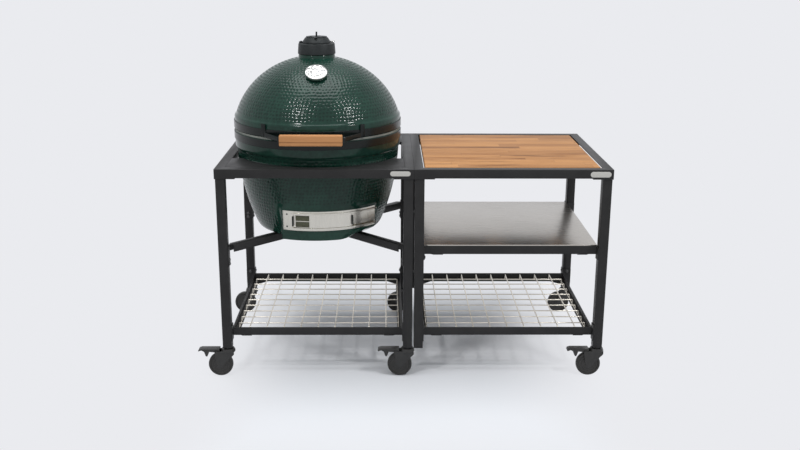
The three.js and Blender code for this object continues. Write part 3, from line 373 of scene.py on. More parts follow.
class Finish:
    """A material or a world, with one method that adds any node."""

    def __init__(self, owner):
        owner.use_nodes = True
        self.owner = owner
        self.tree = owner.node_tree
        self.tree.nodes.clear()

    def pin(self, node, key):
        if isinstance(key, int):
            return node.inputs[key]
        for socket in node.inputs:
            if socket.identifier == key:
                return socket
        return node.inputs[key]

    def add(self, kind, settings=None, values=None, output=0):
        node = self.tree.nodes.new(kind)
        for name, value in (settings or {}).items():
            if name == "stops":
                while len(node.color_ramp.elements) < len(value):
                    node.color_ramp.elements.new(1)
                for element, (place, colour) in zip(node.color_ramp.elements, value):
                    element.position = place
                    element.color = (*colour, 1)
            else:
                setattr(node, name, value)
        for key, value in (values or {}).items():
            socket = self.pin(node, key)
            if isinstance(value, Value):
                self.tree.links.new(value.socket, socket)
            elif isinstance(value, (tuple, list)) and socket.type == "RGBA":
                socket.default_value = (*value[:3], 1)
            else:
                socket.default_value = value
        return Value(self, node.outputs[output]) if node.outputs else node

    def place(self, scale=(1, 1, 1), turn=(0, 0, 0), move=(0, 0, 0)):
        """Object coordinates, stretched, turned and moved."""
        where = self.add("ShaderNodeTexCoord", {}, {}, "Object")
        settings = {"Vector": where, "Scale": scale, "Rotation": turn, "Location": move}
        return self.add("ShaderNodeMapping", {}, settings)

    def split(self, vector):
        """The three parts of a vector."""
        parts = self.add("ShaderNodeSeparateXYZ", {}, {0: vector})
        return [Value(self, parts.socket.node.outputs[axis]) for axis in "XYZ"]

    def chance(self, seed):
        """A number from 0 to 1 that is fixed by its seed."""
        return self.add("ShaderNodeTexWhiteNoise", {"noise_dimensions": "1D"}, {"W": seed}, "Value")

    def noise(self, vector, scale, detail=2.0, roughness=0.5):
        values = {"Vector": vector, "Scale": scale, "Detail": detail, "Roughness": roughness}
        return self.add("ShaderNodeTexNoise", {}, values)

    def mix(self, factor, first, second):
        values = {"Factor_Float": factor, "A_Color": first, "B_Color": second}
        return self.add("ShaderNodeMix", {"data_type": "RGBA"}, values, 2)

    def bump(self, height, distance, strength=1.0, below=None):
        values = {"Height": height, "Distance": distance, "Strength": strength}
        if below is not None:
            values["Normal"] = below
        return self.add("ShaderNodeBump", {}, values)

    def surface(self, **sockets):
        """The Principled shader with its sockets named with underscores, set as the surface."""
        values = {name.replace("_", " "): value for name, value in sockets.items()}
        shader = self.add("ShaderNodeBsdfPrincipled", {}, values)
        self.add("ShaderNodeOutputMaterial", {}, {"Surface": shader})
        return self.owner


def new_finish(name):
    return Finish(bpy.data.materials.new(name))

# %% [markdown]
# The glaze is thick, deep green and very glossy, a little cloudy where it ran thicker. The lips and the
# walls inside are bare fired clay, so the finish also asks how far a point lies inside the outer wall.
# For that the heights and radii of the base and of the dome's oval come first.

# %% Green glaze outside, bare clay inside
glaze_green = (0.0105, 0.0430, 0.0295)
glaze_shade = (0.0062, 0.0290, 0.0200)
clay_pale = (0.46, 0.38, 0.29)
clay_dark = (0.31, 0.26, 0.20)
seam = 951.0
foot_height, rim_height = 542.3, 947.0
dome_reach, dome_rise, dome_sink, dome_wall = 344, 312, 23, 24
lip_radius = 338.0
swell_power = 2.3
wall_radius, wall_swell = 333 * mm, 82 * mm


def glazed(name, is_dome):
    finish = new_finish(name)
    where = finish.place(move=(-kamado.x, -kamado.y, 0))
    x, y, z = finish.split(where)
    radius = (x * x + y * y).maths("SQRT")
    if is_dome:
        half_wall = dome_wall / 2
        rise = (z - (seam - dome_sink) * mm) * (1 / ((dome_rise - half_wall) * mm))
        flat = 1 / ((dome_reach - half_wall) * mm) ** 2
        depth_in = (radius * radius * flat + rise * rise).maths("SQRT")
        inside = 1 - depth_in.between(0.992, 1.0)
    else:
        left = ((rim_height * mm - z) * (1 / ((rim_height - foot_height) * mm))).maths("MAXIMUM", 0.0)
        wall = wall_radius - left.maths("POWER", swell_power) * wall_swell
        inside = (1 - (radius - (wall - 14 * mm)).between(-0.001, 0.001)) * z.between(0.560, 0.562)
    cloud = finish.noise(where, 9, 3)
    mottle = finish.noise(where, 70, 3)
    green = finish.mix((cloud * 0.6 + mottle * 0.5).between(0.40, 0.68), glaze_green, glaze_shade)
    # The pits of the dimples are painted darker here: painted shade in the hollows, read from the attribute
    # that the dimples write.
    pooled = finish.add("ShaderNodeAttribute", {"attribute_name": "pooled"}, {}, "Fac")
    green = finish.mix(pooled * 0.75, green, tuple(value * 0.35 for value in glaze_shade))
    speck = finish.noise(where, 420, 4, 0.65)
    clay = finish.mix(speck.between(0.35, 0.68), clay_pale, clay_dark)
    soft = finish.bump(finish.noise(where, 42, 2), 0.30 * mm, 0.5)
    normal = finish.bump(speck * inside, 0.3 * mm, 1.0, soft)
    return finish.surface(
        Base_Color=finish.mix(inside, green, clay), Roughness=0.13 + inside * 0.7, Specular_IOR_Level=0.27,
        Normal=normal,
    )


dome_glaze = glazed("dome_glaze", True)
base_glaze = glazed("base_glaze", False)

# %% [markdown]
# All steel of the table is powder coated: charcoal, a fine orange-peel grain, and a dull sheen that
# lifts the top faces, where the pale room is seen at a flat angle. Two scales of noise give the grain.

# %% Powder coat
def powder_coat(name, colour, roughness):
    finish = new_finish(name)
    where = finish.place()
    grain = finish.noise(where, 1400, 2)
    patches = finish.noise(where, 14, 3)
    lighter = tuple(value * 1.35 for value in colour)
    tone = finish.mix(patches.between(0.3, 0.75), colour, lighter)
    rough = roughness + (patches - 0.5) * 0.12
    return finish.surface(
        Base_Color=tone, Roughness=rough, Specular_IOR_Level=0.26, Normal=finish.bump(grain, 0.12 * mm, 0.5)
    )


charcoal = powder_coat("charcoal_coat", (0.0150, 0.0145, 0.0145), 0.42)
band_black = powder_coat("band_coat", (0.0045, 0.0068, 0.0062), 0.22)

# %% [markdown]
# Acacia is sold as a panel glued up from narrow staves. Each stave has its own tone and its own grain,
# so the pattern first works out which stave a point is on, and uses that number as the seed for the
# colour and for the shift of the grain. A few dark veins finish it.

# %% Acacia in staves
stave_width = 46 * mm
stave_length = 520 * mm


def acacia(name, along, across, width, length, pale, deep, vein):
    """Wood whose staves lie along one object axis and stand beside each other along another."""
    finish = new_finish(name)
    where = finish.add("ShaderNodeTexCoord", {}, {}, "Object")
    axes = dict(zip("XYZ", finish.split(where)))
    run, side = axes[along], axes[across]
    row = (side / width).maths("FLOOR")
    row_random = finish.chance(row)
    end = ((run / length) + row_random * 7).maths("FLOOR")
    seed = row * 3.7 + end * 11.3
    tone = finish.chance(seed)
    other = [axis for axis in "XYZ" if axis not in (along, across)][0]
    stretched = finish.add("ShaderNodeCombineXYZ", {}, {
        "X": run * 0.055 + tone * 3, "Y": side + tone * 5, "Z": axes[other] * 0.6 + seed,
    })
    grain = finish.noise(stretched, 110, 5, 0.6)
    fine = finish.noise(stretched, 620, 3, 0.6)
    veins = finish.noise(stretched, 42, 4, 0.65)
    colour = finish.mix((tone * 0.62 + (grain - 0.5) * 1.5).clamped(), pale, deep)
    colour = finish.mix(veins.between(0.56, 0.68) * 0.7, colour, vein)
    colour = finish.mix(fine.between(0.55, 0.8) * 0.35, colour, vein)
    across_stave = (side / width) - row
    seam = ((across_stave - 0.5).maths("ABSOLUTE")).between(0.475, 0.497)
    along_stave = ((run / length) + row_random * 7) - end
    joint = ((along_stave - 0.5).maths("ABSOLUTE")).between(0.4985, 0.4998)
    line = seam.maths("MAXIMUM", joint)
    colour = finish.mix(line * 0.55, colour, tuple(value * 0.55 for value in vein))
    height = fine * 0.5 + grain * 0.3 - line * 0.6
    return finish.surface(
        Base_Color=colour, Roughness=0.50 + (grain - 0.5) * 0.25, Specular_IOR_Level=0.14,
        Normal=finish.bump(height, 0.25 * mm, 0.6),
    )


acacia_pale = (0.50, 0.245, 0.092)
acacia_deep = (0.235, 0.098, 0.034)
acacia_vein = (0.105, 0.040, 0.014)
acacia_top = acacia(
    "acacia_top", "X", "Y", stave_width, stave_length, acacia_pale, acacia_deep, acacia_vein
)
acacia_handle = acacia(
    "acacia_handle", "X", "Z", 120 * mm, 900 * mm,
    (0.50, 0.245, 0.105), (0.42, 0.19, 0.075), (0.20, 0.080, 0.030),
)

# %% [markdown]
# Stainless sheet is brushed in one direction. Noise that is stretched a hundred times along the strokes
# changes the roughness and the normal a little, which draws the soft streaks out of a reflection.

# %% Brushed and polished metals
def brushed(name, colour, roughness, stretch, depth=0.05):
    finish = new_finish(name)
    where = finish.place(scale=stretch)
    strokes = finish.noise(where, 900, 3, 0.6)
    marks = finish.noise(finish.place(), 5, 2)
    tone = finish.mix(strokes.between(0.3, 0.7), colour, tuple(value * 0.86 for value in colour))
    rough = roughness + (strokes - 0.5) * 0.16 + (marks - 0.5) * 0.08
    return finish.surface(
        Base_Color=tone, Metallic=1.0, Roughness=rough, Normal=finish.bump(strokes, depth * mm, 0.4)
    )


shelf_steel = brushed("shelf_steel", (0.56, 0.53, 0.485), 0.27, (0.012, 1, 1))
draft_steel = brushed("draft_steel", (0.68, 0.66, 0.60), 0.30, (1, 1, 0.02))
wire_steel = brushed("wire_steel", (0.84, 0.79, 0.70), 0.34, (1, 1, 1), 0.02)
plate_steel = brushed("plate_steel", (0.60, 0.59, 0.55), 0.42, (1, 1, 1), 0.02)
bright_steel = brushed("bright_steel", (0.72, 0.72, 0.70), 0.16, (1, 1, 1), 0.02)
bolt_black = brushed("bolt_black", (0.10, 0.10, 0.10), 0.34, (1, 1, 1), 0.02)

# %% [markdown]
# Cast iron has a fine sandy skin. Felt is pale, dull and fibrous. Rubber and nylon are nearly black
# with different sheens. The fired clay inside is matte and speckled.

# %% Cast iron, felt, rubber, nylon and fired clay
def grainy(name, colour, spread, roughness, scale, depth, metallic=0.0, specular=0.5):
    finish = new_finish(name)
    where = finish.place()
    grain = finish.noise(where, scale, 4, 0.65)
    clouds = finish.noise(where, scale / 22, 3)
    tone = finish.mix(clouds.between(0.3, 0.7), colour, tuple(value * spread for value in colour))
    rough = roughness + (grain - 0.5) * 0.2
    return finish.surface(
        Base_Color=tone, Metallic=metallic, Roughness=rough, Specular_IOR_Level=specular,
        Normal=finish.bump(grain, depth * mm, 0.6),
    )


cast_iron = grainy("cast_iron", (0.0125, 0.0150, 0.0155), 1.4, 0.46, 900, 0.35, 0.0, 0.24)
iron_inside = grainy("iron_inside", (0.030, 0.028, 0.026), 1.4, 0.6, 700, 0.4)
mesh_olive = grainy("mesh_olive", (0.085, 0.085, 0.052), 0.7, 0.5, 2600, 0.5, 0.0, 0.3)
felt = grainy("felt", (0.30, 0.31, 0.28), 0.75, 0.95, 800, 0.6, 0.0, 0.1)
tread_rubber = grainy("tread_rubber", (0.0150, 0.0140, 0.0125), 1.3, 0.55, 1200, 0.15)
hub_nylon = grainy("hub_nylon", (0.0190, 0.0178, 0.0160), 1.25, 0.40, 900, 0.10)
fork_nylon = grainy("fork_nylon", (0.0155, 0.0150, 0.0140), 1.3, 0.36, 1100, 0.10)
fired_clay = grainy("fired_clay", (0.47, 0.38, 0.27), 0.82, 0.9, 500, 0.5, 0.0, 0.2)
dial_enamel = grainy("dial_enamel", (0.43, 0.43, 0.42), 0.97, 0.6, 300, 0.01, 0.0, 0.1)
print_black = grainy("print_black", (0.03, 0.03, 0.032), 1.2, 0.5, 600, 0.01)


def clear_glass(name):
    finish = new_finish(name)
    smear = finish.noise(finish.place(), 30, 2)
    return finish.surface(
        Base_Color=(1, 1, 1), Roughness=0.02 + smear * 0.03, IOR=1.45, Transmission_Weight=1.0, Alpha=0.35
    )


dial_glass = clear_glass("dial_glass")
print(len(bpy.data.materials), "materials")

# %% [markdown]
# The camera stands where the photographer stood, a little left of the middle and 1.66 m up. It was
# fitted to the corners of the frames in the photograph, and is tipped down to the middle of the table.
# Shift stays at nought, so the table is whole and in the middle from every other side as well.

# %% Camera
camera_data = bpy.data.cameras.new("studio_camera")
camera = bpy.data.objects.new("studio_camera", camera_data)
scene.collection.objects.link(camera)
scene.camera = camera
camera_data.sensor_fit = "HORIZONTAL"
camera_data.sensor_width = 36
camera_data.lens = 44.1
pitch, yaw, roll = 0.2751, 0.01435, 0.00457
ahead = Vector((math.sin(yaw) * math.cos(pitch), math.cos(yaw) * math.cos(pitch), -math.sin(pitch)))
level = Vector((math.cos(yaw), -math.sin(yaw), 0))
upward = level.cross(ahead)
right = level * math.cos(roll) + upward * math.sin(roll)
above = right.cross(ahead)
camera.matrix_world = Matrix((right, above, -ahead)).transposed().to_4x4()
camera.location = (-0.0603, -3.9930, 1.6566)

# %% [markdown]
# The room is a pale cove: a floor that turns up into a wall with a wide curve, so that no edge shows.
# It is drawn as one line that is swept sideways. To the camera, and in reflections, the cove has one
# even pale colour, and only the floor near the table keeps its real shading, so the soft shadow stays.
# A large lamp overhead gives the sheen on the dome, and two small ones, high in front, give its sparks.

# %% Cove, lamps and world
backdrop_colour = (0.823, 0.831, 0.863)
floor_colour = (0.80, 0.81, 0.84)
half_width, floor_end, bend, wall_top = 9, 3.5, 2.5, 9.0
quarter = [math.pi / 24 * i for i in range(1, 13)]
cove_points = [(-half_width, -half_width, 0), (-half_width, floor_end, 0)]
cove_points += [(-half_width, floor_end + bend * math.sin(t), bend - bend * math.cos(t)) for t in quarter]
cove_points += [(-half_width, floor_end + bend, wall_top)]
cove = drawn("pale_cove", cove_points)
with Edit(cove, "EDGE"):
    bpy.ops.mesh.extrude_region_move(TRANSFORM_OT_translate={"value": (2 * half_width, 0, 0)})
    bpy.ops.mesh.select_all(action="SELECT")
    bpy.ops.mesh.normals_make_consistent(inside=True)
smooth(cove, 30)


def even_light(finish):
    """1 for the camera's own rays and for those that gloss and glass send on, else 0."""
    kinds = ("Camera", "Glossy", "Transmission")
    rays = [finish.add("ShaderNodeLightPath", {}, {}, f"Is {kind} Ray") for kind in kinds]
    return rays[0].maths("MAXIMUM", rays[1]).maths("MAXIMUM", rays[2])


cove_finish = new_finish("pale_paint")
cove_cloud = cove_finish.noise(cove_finish.place(), 1.2, 2)
floor_x, floor_y, _ = cove_finish.split(cove_finish.place())
away_x = (floor_x.maths("ABSOLUTE") - 0.30) * 0.9
away_y = ((floor_y + 0.15).maths("ABSOLUTE") - 0.45) * 0.8
away = away_x.maths("MAXIMUM", away_y)
floor_tone = cove_finish.mix(cove_cloud, floor_colour, tuple(value * 0.99 for value in floor_colour))
painted = cove_finish.add("ShaderNodeBsdfDiffuse", {}, {"Color": floor_tone, "Roughness": 0.0})
glow = cove_finish.add("ShaderNodeEmission", {}, {"Color": backdrop_colour, "Strength": 1.0})
factor = even_light(cove_finish) * away.between(0.0, 0.5)
cove_shader = cove_finish.add("ShaderNodeMixShader", {}, {0: factor, 1: painted, 2: glow})
cove_finish.add("ShaderNodeOutputMaterial", {}, {"Surface": cove_shader})
cove.data.materials.append(cove_finish.owner)

world = bpy.data.worlds.new("pale_room")
scene.world = world
room = Finish(world)
dim_room = room.add("ShaderNodeBackground", {}, {"Color": (0.80, 0.83, 0.86), "Strength": 0.60})
even_room = room.add("ShaderNodeBackground", {}, {"Color": backdrop_colour, "Strength": 1.0})
room_light = room.add("ShaderNodeMixShader", {}, {0: even_light(room), 1: dim_room, 2: even_room})
room.add("ShaderNodeOutputWorld", {}, {"Surface": room_light})


def lamp(name, place, towards, size, power, colour=(1, 1, 1)):
    """A soft square lamp that faces a point."""
    data = bpy.data.lights.new(name, "AREA")
    data.shape = "RECTANGLE"
    data.size, data.size_y = size
    data.energy = power
    data.color = colour
    obj = bpy.data.objects.new(name, data)
    scene.collection.objects.link(obj)
    obj.location = place
    obj.rotation_euler = (Vector(towards) - Vector(place)).to_track_quat("-Z", "Y").to_euler()


lamp("overhead_lamp", (-0.3, -0.15, 4.1), (-0.3, -0.1, 0.8), (2.8, 2.3), 76, (0.97, 0.99, 1.0))
lamp("left_lamp", (-1.47, -2.21, 3.1), (-0.3, 0, 1.0), (0.32, 0.32), 25)
lamp("right_lamp", (1.79, -1.54, 2.9), (-0.2, 0, 1.0), (0.32, 0.32), 25)
scene.view_settings.view_transform = "Standard"

# %% [markdown]
# The table is folded sheet and square tube. On the real thing no edge is sharp: the fold has a small
# radius and the powder coat is thicker there, and that thin bright line is what makes it look like
# coated steel. So each part is copied from its CAD node, cleaned of triangles, and its edges rounded.

# %% Folded steel and tube
def eased(node, finish, width, segments=2, angle=30):
    """A copy of a CAD node with whole faces and rounded edges, which stands for the node."""
    obj = copy_at(nodes[node], node + "_eased")
    with Edit(obj):
        bpy.ops.mesh.remove_doubles(threshold=0.005 * mm)
        bpy.ops.mesh.dissolve_limited(angle_limit=math.radians(0.5))
    rounded(obj, width, segments, angle)
    smooth(obj)
    return settle(obj, finish, node)


for node in ["grill_top_frame", "side_top_frame", "grill_lower_frame", "side_lower_frame", "side_mid_frame",
             "cross_brace"]:
    eased(node, charcoal, 0.9 * mm)
for module in ["grill", "side"]:
    for corner in ["front_left", "front_right", "back_left", "back_right"]:
        eased(f"{module}_leg_{corner}", charcoal, 1.8 * mm, 3)
print("steel frames done")

# %% [markdown]
# Button-head bolts hold the frames to the legs. One head is turned with a low dome, a six-sided socket
# is cut into it, and it is copied to every bracket.

# %% Bolts on the brackets
head_outline = [(0, 4.2), (3, 4.1), (5.2, 3.3), (7.0, 1.8), (7.8, 0.5), (8.0, 0), (0, 0)]
bolt_head = turned("bolt_head", head_outline, 24)
bpy.ops.mesh.primitive_cylinder_add(vertices=6, radius=2.9 * mm, depth=6 * mm, location=(0, 0, 4.6 * mm))
cut_by(bolt_head, placed(bpy.context.object, "hex_key"))
tab_face = leg_place - leg_half - 3.3 * mm


def bracket_bolts(name, middle, heights):
    """Bolt heads on the two tabs of each corner, at the given heights in millimetres."""
    made = []
    for height in heights:
        for quarter in range(4):
            for turn, spot in [(-90, (tab_face, leg_place)), (90, (leg_place, tab_face))]:
                axis = "Y" if turn < 0 else "X"
                piece = copy_at(bolt_head, f"{name}_{len(made)}", turn=math.radians(turn), axis=axis)
                piece.data.transform(Matrix.Translation((*spot, height * mm)))
                piece.data.transform(Matrix.Rotation(quarter * math.pi / 2, 4, "Z"))
                piece.data.transform(Matrix.Translation((middle.x, middle.y, 0)))
                made.append(piece)
    bolts = joined(name, made)
    smooth(bolts, 30)
    return settle(bolts, bolt_black, body="table", slot="frame_coat")


bracket_bolts("grill_low_bolts", grill_middle, [206])
bracket_bolts("side_low_bolts", side_middle, [206])
bracket_bolts("side_mid_bolts", side_middle, [496])
bracket_bolts("brace_bolts", grill_middle, [470, 486])

# %% [markdown]
# The kamado passes through a round opening in a folded steel deck. A block is hollowed from below into
# a tray and the opening is cut with a fine cylinder.

# %% Deck round the kamado
sheet, deck_hole, side_gap = 3 * mm, 341 * mm, 170 * mm
deck_low, deck_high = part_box("deck_plate")
deck = block("deck_tray", deck_low, deck_high)
under = block(
    "deck_under", deck_low + Vector((sheet, sheet, -sheet)), deck_high - Vector((sheet, sheet, sheet))
)
bpy.ops.mesh.primitive_cylinder_add(
    vertices=160, radius=deck_hole, depth=0.2, location=(grill_middle.x, grill_middle.y, deck_high.z)
)
hole = placed(bpy.context.object, "deck_hole")
windows = block(
    "deck_windows", (deck_low.x + sheet, grill_middle.y - side_gap, deck_high.z - 4 * mm),
    (deck_high.x - sheet, grill_middle.y + side_gap, deck_high.z + 4 * mm),
)
notches = []
for sx in (-1, 1):
    for sy in (-1, 1):
        near, far = leg_place - leg_half - 0.3 * mm, leg_place + leg_half
        xs, ys = sorted((sx * near, sx * far)), sorted((sy * near, sy * far))
        notches.append(block(
            "deck_notch", (grill_middle.x + xs[0], grill_middle.y + ys[0], deck_low.z - 5 * mm),
            (grill_middle.x + xs[1], grill_middle.y + ys[1], deck_high.z - sheet),
        ))
cut_by(deck, under, hole, windows, *notches)
settle(smooth(rounded(deck, 0.8 * mm)), charcoal, "deck_plate")

# %% [markdown]
# The worktop is an acacia panel with eased edges, and the shelf below it a brushed steel sheet that
# lies in its frame. Both are copies of their solids with softer edges. The look is in their finish.

# %% Worktop and steel shelf
eased("wood_worktop", acacia_top, 0.9 * mm, 3)
eased("steel_shelf", shelf_steel, 0.35 * mm, 2, 20)

# %% [markdown]
# A wire shelf is two crossing layers of 5 mm wire, bent down at the ends and welded to a rim rod. One
# wire of each layer is drawn as a path with bent corners, given its thickness, and copied at the pitch.

# %% Wire shelves
wire_pitch = 68.2 * mm
wire_reach = 324.5 * mm
wire_radius = 2.5 * mm


def wire_shelf(node, middle):
    low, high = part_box(node)
    rim_height = low.z + wire_radius
    tops = [high.z - wire_radius, high.z - 3 * wire_radius]
    upper = wire(node + "_upper", [
        (middle.x, middle.y - wire_reach, rim_height), (middle.x, middle.y - wire_reach, tops[0]),
        (middle.x, middle.y + wire_reach, tops[0]), (middle.x, middle.y + wire_reach, rim_height),
    ], wire_radius, 5 * mm)
    lower = wire(node + "_lower", [
        (middle.x - wire_reach, middle.y, rim_height), (middle.x - wire_reach, middle.y, tops[1]),
        (middle.x + wire_reach, middle.y, tops[1]), (middle.x + wire_reach, middle.y, rim_height),
    ], wire_radius, 5 * mm)
    bpy.ops.mesh.primitive_plane_add(size=2 * wire_reach, location=(middle.x, middle.y, rim_height))
    rim = placed(bpy.context.object, node + "_rim")
    with Edit(rim):
        bpy.ops.mesh.delete(type="ONLY_FACE")
        bpy.ops.mesh.select_all(action="SELECT")
        bpy.ops.mesh.bevel(offset=8 * mm, segments=4, affect="VERTICES")
    wires = [thickened(rim, node + "_rim", wire_radius)]
    for step in range(-4, 5):
        wires.append(copy_at(upper, node + "_wire", (step * wire_pitch, 0, 0)))
        wires.append(copy_at(lower, node + "_wire", (0, step * wire_pitch, 0)))
    bpy.data.objects.remove(upper)
    bpy.data.objects.remove(lower)
    net = joined(node + "_net", wires)
    with Edit(net):
        bpy.ops.mesh.normals_make_consistent(inside=False)
    smooth(net, 50)
    return settle(net, wire_steel, node)


for node, middle in [("grill_wire_shelf", grill_middle), ("side_wire_shelf", side_middle)]:
    net = wire_shelf(node, middle)
    print(net.name, len(net.data.polygons), "faces")

# %% [markdown]
# The base of the kamado is a thick ceramic bowl. Its outline rises from a rounded foot, swells, and
# ends in a wide smooth lip. It is turned once, and the draft opening is cut through its front. The
# ceramic stands proud round the draft door, so the points there are moved out to the door's radius.
#
# Round dimples are pressed into the clay before it is glazed, in rows about 14 mm apart. They break the
# studio lights into hundreds of sparks. Each row has a whole number of them, worked out from the radius
# there, and each one sits a little off its place, as a hand-made pattern does.

# %% Dimples and the base of the kamado
dimple_pitch = 14.2
dimple_depth = 1.7
dimple_radius = 0.5
dimple_samples = 5


def dimpled(obj, row_at, share_at):
    """Presses rows of dimples into the outer wall. row_at gives a height's place among the rows."""
    jitter = random.Random(7)
    offs = {}
    moved = []
    # Each vertex also keeps how deep it lies in its dimple, and the glaze uses that to paint shade into the
    # pits.
    pooled = obj.data.attributes.new("pooled", "FLOAT", "POINT")
    for vertex in obj.data.vertices:
        place = (vertex.co - kamado) / mm
        radius = math.hypot(place.x, place.y)
        share = share_at(radius, place.z, math.degrees(math.atan2(place.x, -place.y)))
        if share <= 0:
            continue
        along, ring = row_at(place.z)
        row = math.floor(along)
        count = max(round(2 * math.pi * ring / dimple_pitch), 1)
        around = (math.atan2(place.y, place.x) / (2 * math.pi) + 0.5 + 0.5 * row / count) * count
        cell = (row, math.floor(around) % count)
        if cell not in offs:
            drift = (jitter.uniform(-0.13, 0.13), jitter.uniform(-0.13, 0.13))
            offs[cell] = (*drift, jitter.uniform(0.72, 1.1))
        side, rise, size = offs[cell]
        u = around - math.floor(around) - 0.5 + side
        v = along - row - 0.5 + rise
        apart = min(math.hypot(u, v) / (dimple_radius * size), 1)
        bowl = share * (1 - apart * apart) ** 2
        moved.append((vertex.index, vertex.co - vertex.normal * (dimple_depth * mm * bowl)))
        pooled.data[vertex.index].value = bowl
    for index, place in moved:
        obj.data.vertices[index].co = place


door_turn = 13.0
door_middle = 625.0


def base_radius(height):
    left = max(1 - (height - foot_height) / (rim_height - foot_height), 0)
    return lip_radius * (0.986 - 0.242 * left ** swell_power)


def base_side(offset, bottom, top, corner, count):
    start = bottom + 0.06 * (rim_height - foot_height)
    ends = [(corner, bottom), (base_radius(bottom) - offset, bottom), (base_radius(start) - offset, start)]
    side = []
    for i in range(9):
        t = i / 8
        share = [(1 - t) ** 2, 2 * t * (1 - t), t * t]
        side.append(tuple(sum(s * end[k] for s, end in zip(share, ends)) for k in (0, 1)))
    for i in range(1, count + 1):
        height = start + (top - start) * i / count
        side.append((base_radius(height) - offset, height))
    return side


lip_foot = rim_height - 60
outer_side = base_side(0, foot_height, lip_foot - 13, 235, 96)
inner_side = base_side(26, foot_height + 30, lip_foot, 209, 14)
outline_base = [(0, foot_height)] + outer_side
outline_base += [(333.4, 876.5), (335.9, 880), (337.4, 884), (lip_radius, 889), (lip_radius, 943)]
outline_base += arc_points((335, 944), 3, 0, 90, 3) + arc_points((315, 944), 3, 90, 180, 3)
outline_base += inner_side[::-1] + [(0, foot_height + 30)]
base = turned("base_glazed", outline_base, 576, kamado)


def proud_round_door(obj, reach, half_turn, top):
    """Moves the outer wall out to the door's seat, fading over its edges."""
    for vertex in obj.data.vertices:
        place = vertex.co - kamado
        radius = math.hypot(place.x, place.y)
        if radius < base_radius(max(place.z / mm, foot_height)) * mm - 8 * mm or place.z / mm > top + 30:
            continue
        signed = math.degrees(math.atan2(place.x, -place.y)) - door_turn
        turn = abs(signed)
        fade = min(max((half_turn + 2.5 - turn) / 3, 0), 1) * min(max((top + 9 - place.z / mm) / 14, 0), 1)
        above_foot = min(max((place.z / mm - 546) / 36, 0), 1)
        fade *= 1 - (1 - above_foot) * min(max((signed - 4) / 26, 0), 1)
        fade = fade * fade * (3 - 2 * fade)
        grown = max(radius, radius + (reach * mm - radius) * fade)
        vertex.co.x = kamado.x + place.x * grown / radius
        vertex.co.y = kamado.y + place.y * grown / radius


def base_row(height):
    """The place of a height among the rows, and the radius in the middle of its row."""
    step = dimple_pitch * 0.97
    along = height / step
    return along, base_radius((math.floor(along) + 0.5) * step)


def base_share(radius, height, turn):
    """1 on the open outer wall, 0 at the lip, the foot, inside and beside the draft door."""
    if radius < base_radius(max(height, foot_height)) - 4:
        return 0
    ends = min(max((874 - height) / 8, 0), 1) * min(max((height - 566) / 12, 0), 1)
    beside_door = height < 690 and abs(turn - door_turn) < 46
    return 0 if beside_door else ends


dimpled(base, base_row, base_share)
proud_round_door(base, 302.6, 39, 668)
draft_tool = curved_plate("draft_tool", 150, 320, door_turn - 28, 32, door_middle - 26, door_middle + 26, 2)
modified(base, "BOOLEAN", operation="DIFFERENCE", object=draft_tool, solver="MANIFOLD")
bpy.data.objects.remove(draft_tool)
smooth(base, 40)
settle(base, base_glaze, "base_shell")

# %% [markdown]
# The dome is the kamado's lid. It is turned like the base, from its lip up to the neck that carries
# the cap, and its wall is 24 mm thick.

# %% Dome
def dome_arc(offset, start_height, end_radius, count):
    """Points of the dome's oval, this far inside its skin, from a height up to a radius."""
    reach, rise = dome_reach - offset, dome_rise - offset
    start = math.asin((start_height - seam + dome_sink) / rise)
    end = math.acos(end_radius / reach)
    turns = [start + (end - start) * i / count for i in range(count + 1)]
    return [(reach * math.cos(t), seam - dome_sink + rise * math.sin(t)) for t in turns]


outline_dome = arc_points((315, 958), 3, 180, 270, 3) + arc_points((335, 958), 3, -90, 0, 3)
outline_dome += [(lip_radius, 1002), (337.4, 1006), (335.8, 1009), (333.2, 1011.2), (331, 1014)]
outline_dome += dome_arc(0, 1018, 74, 24 * dimple_samples)
outline_dome += [(73.6, 1241), (72, 1244.8), (69, 1246), (63, 1246)]
outline_dome += [(61, 1248.4), (61, 1258), (59, 1260), (50, 1260)]
outline_dome += dome_arc(dome_wall, 1011, 50, 10)[::-1]
dome = turned("dome_glazed", outline_dome, 600, kamado)


def dome_row(height):
    """The place of a height among the rows, and the radius in the middle of its row."""
    step = dimple_pitch / ((dome_reach + dome_rise) / 2)
    along = math.asin(min(max((height - seam + dome_sink) / dome_rise, 0), 1)) / step
    return along, dome_reach * math.cos((math.floor(along) + 0.5) * step)


def dome_share(radius, height, _):
    """1 on the open outer wall, 0 at the lip, at the neck and inside."""
    within = radius ** 2 / dome_reach ** 2 + (height - seam + dome_sink) ** 2 / dome_rise ** 2
    if height < 1012 or within < 0.97 ** 2:
        return 0
    return min(max((height - 1018) / 6, 0), 1) * min(max((radius - 76) / 10, 0), 1)


dimpled(dome, dome_row, dome_share)
smooth(dome, 40)
settle(dome, dome_glaze, "dome_shell")

# %% [markdown]
# A line of felt seals the seam between the lips, and a steel band with rolled edges goes round each lip
# and carries the hinge and the handle.

# %% Felt and bands
felt_foot, felt_top = span_of("rim_gasket")
felt_outline = [(317, felt_foot), (337.4, felt_foot), (338.2, (felt_foot + felt_top) / 2)]
felt_outline += [(337.4, felt_top), (317, felt_top)]
felt_line = turned("felt_line", felt_outline, 128, kamado)
settle(felt_line, felt, "rim_gasket")


def band(name, node):
    bottom, top = span_of(node)
    outline = [(338.3, bottom + 1), (339.2, bottom), (340.6, bottom), (341.3, bottom + 0.8)]
    outline += [(341.3, top - 0.8), (340.6, top), (339.2, top), (338.3, top - 1)]
    return turned(name, outline, 160, kamado)


for name, node in [("lower_band_rolled", "lower_band"), ("upper_band_rolled", "upper_band")]:
    settle(band(name, node), band_black, node)

# %% [markdown]
# The handle is a bar of wood, rounded on all its edges, on a black steel strap that reaches back to the
# upper band.

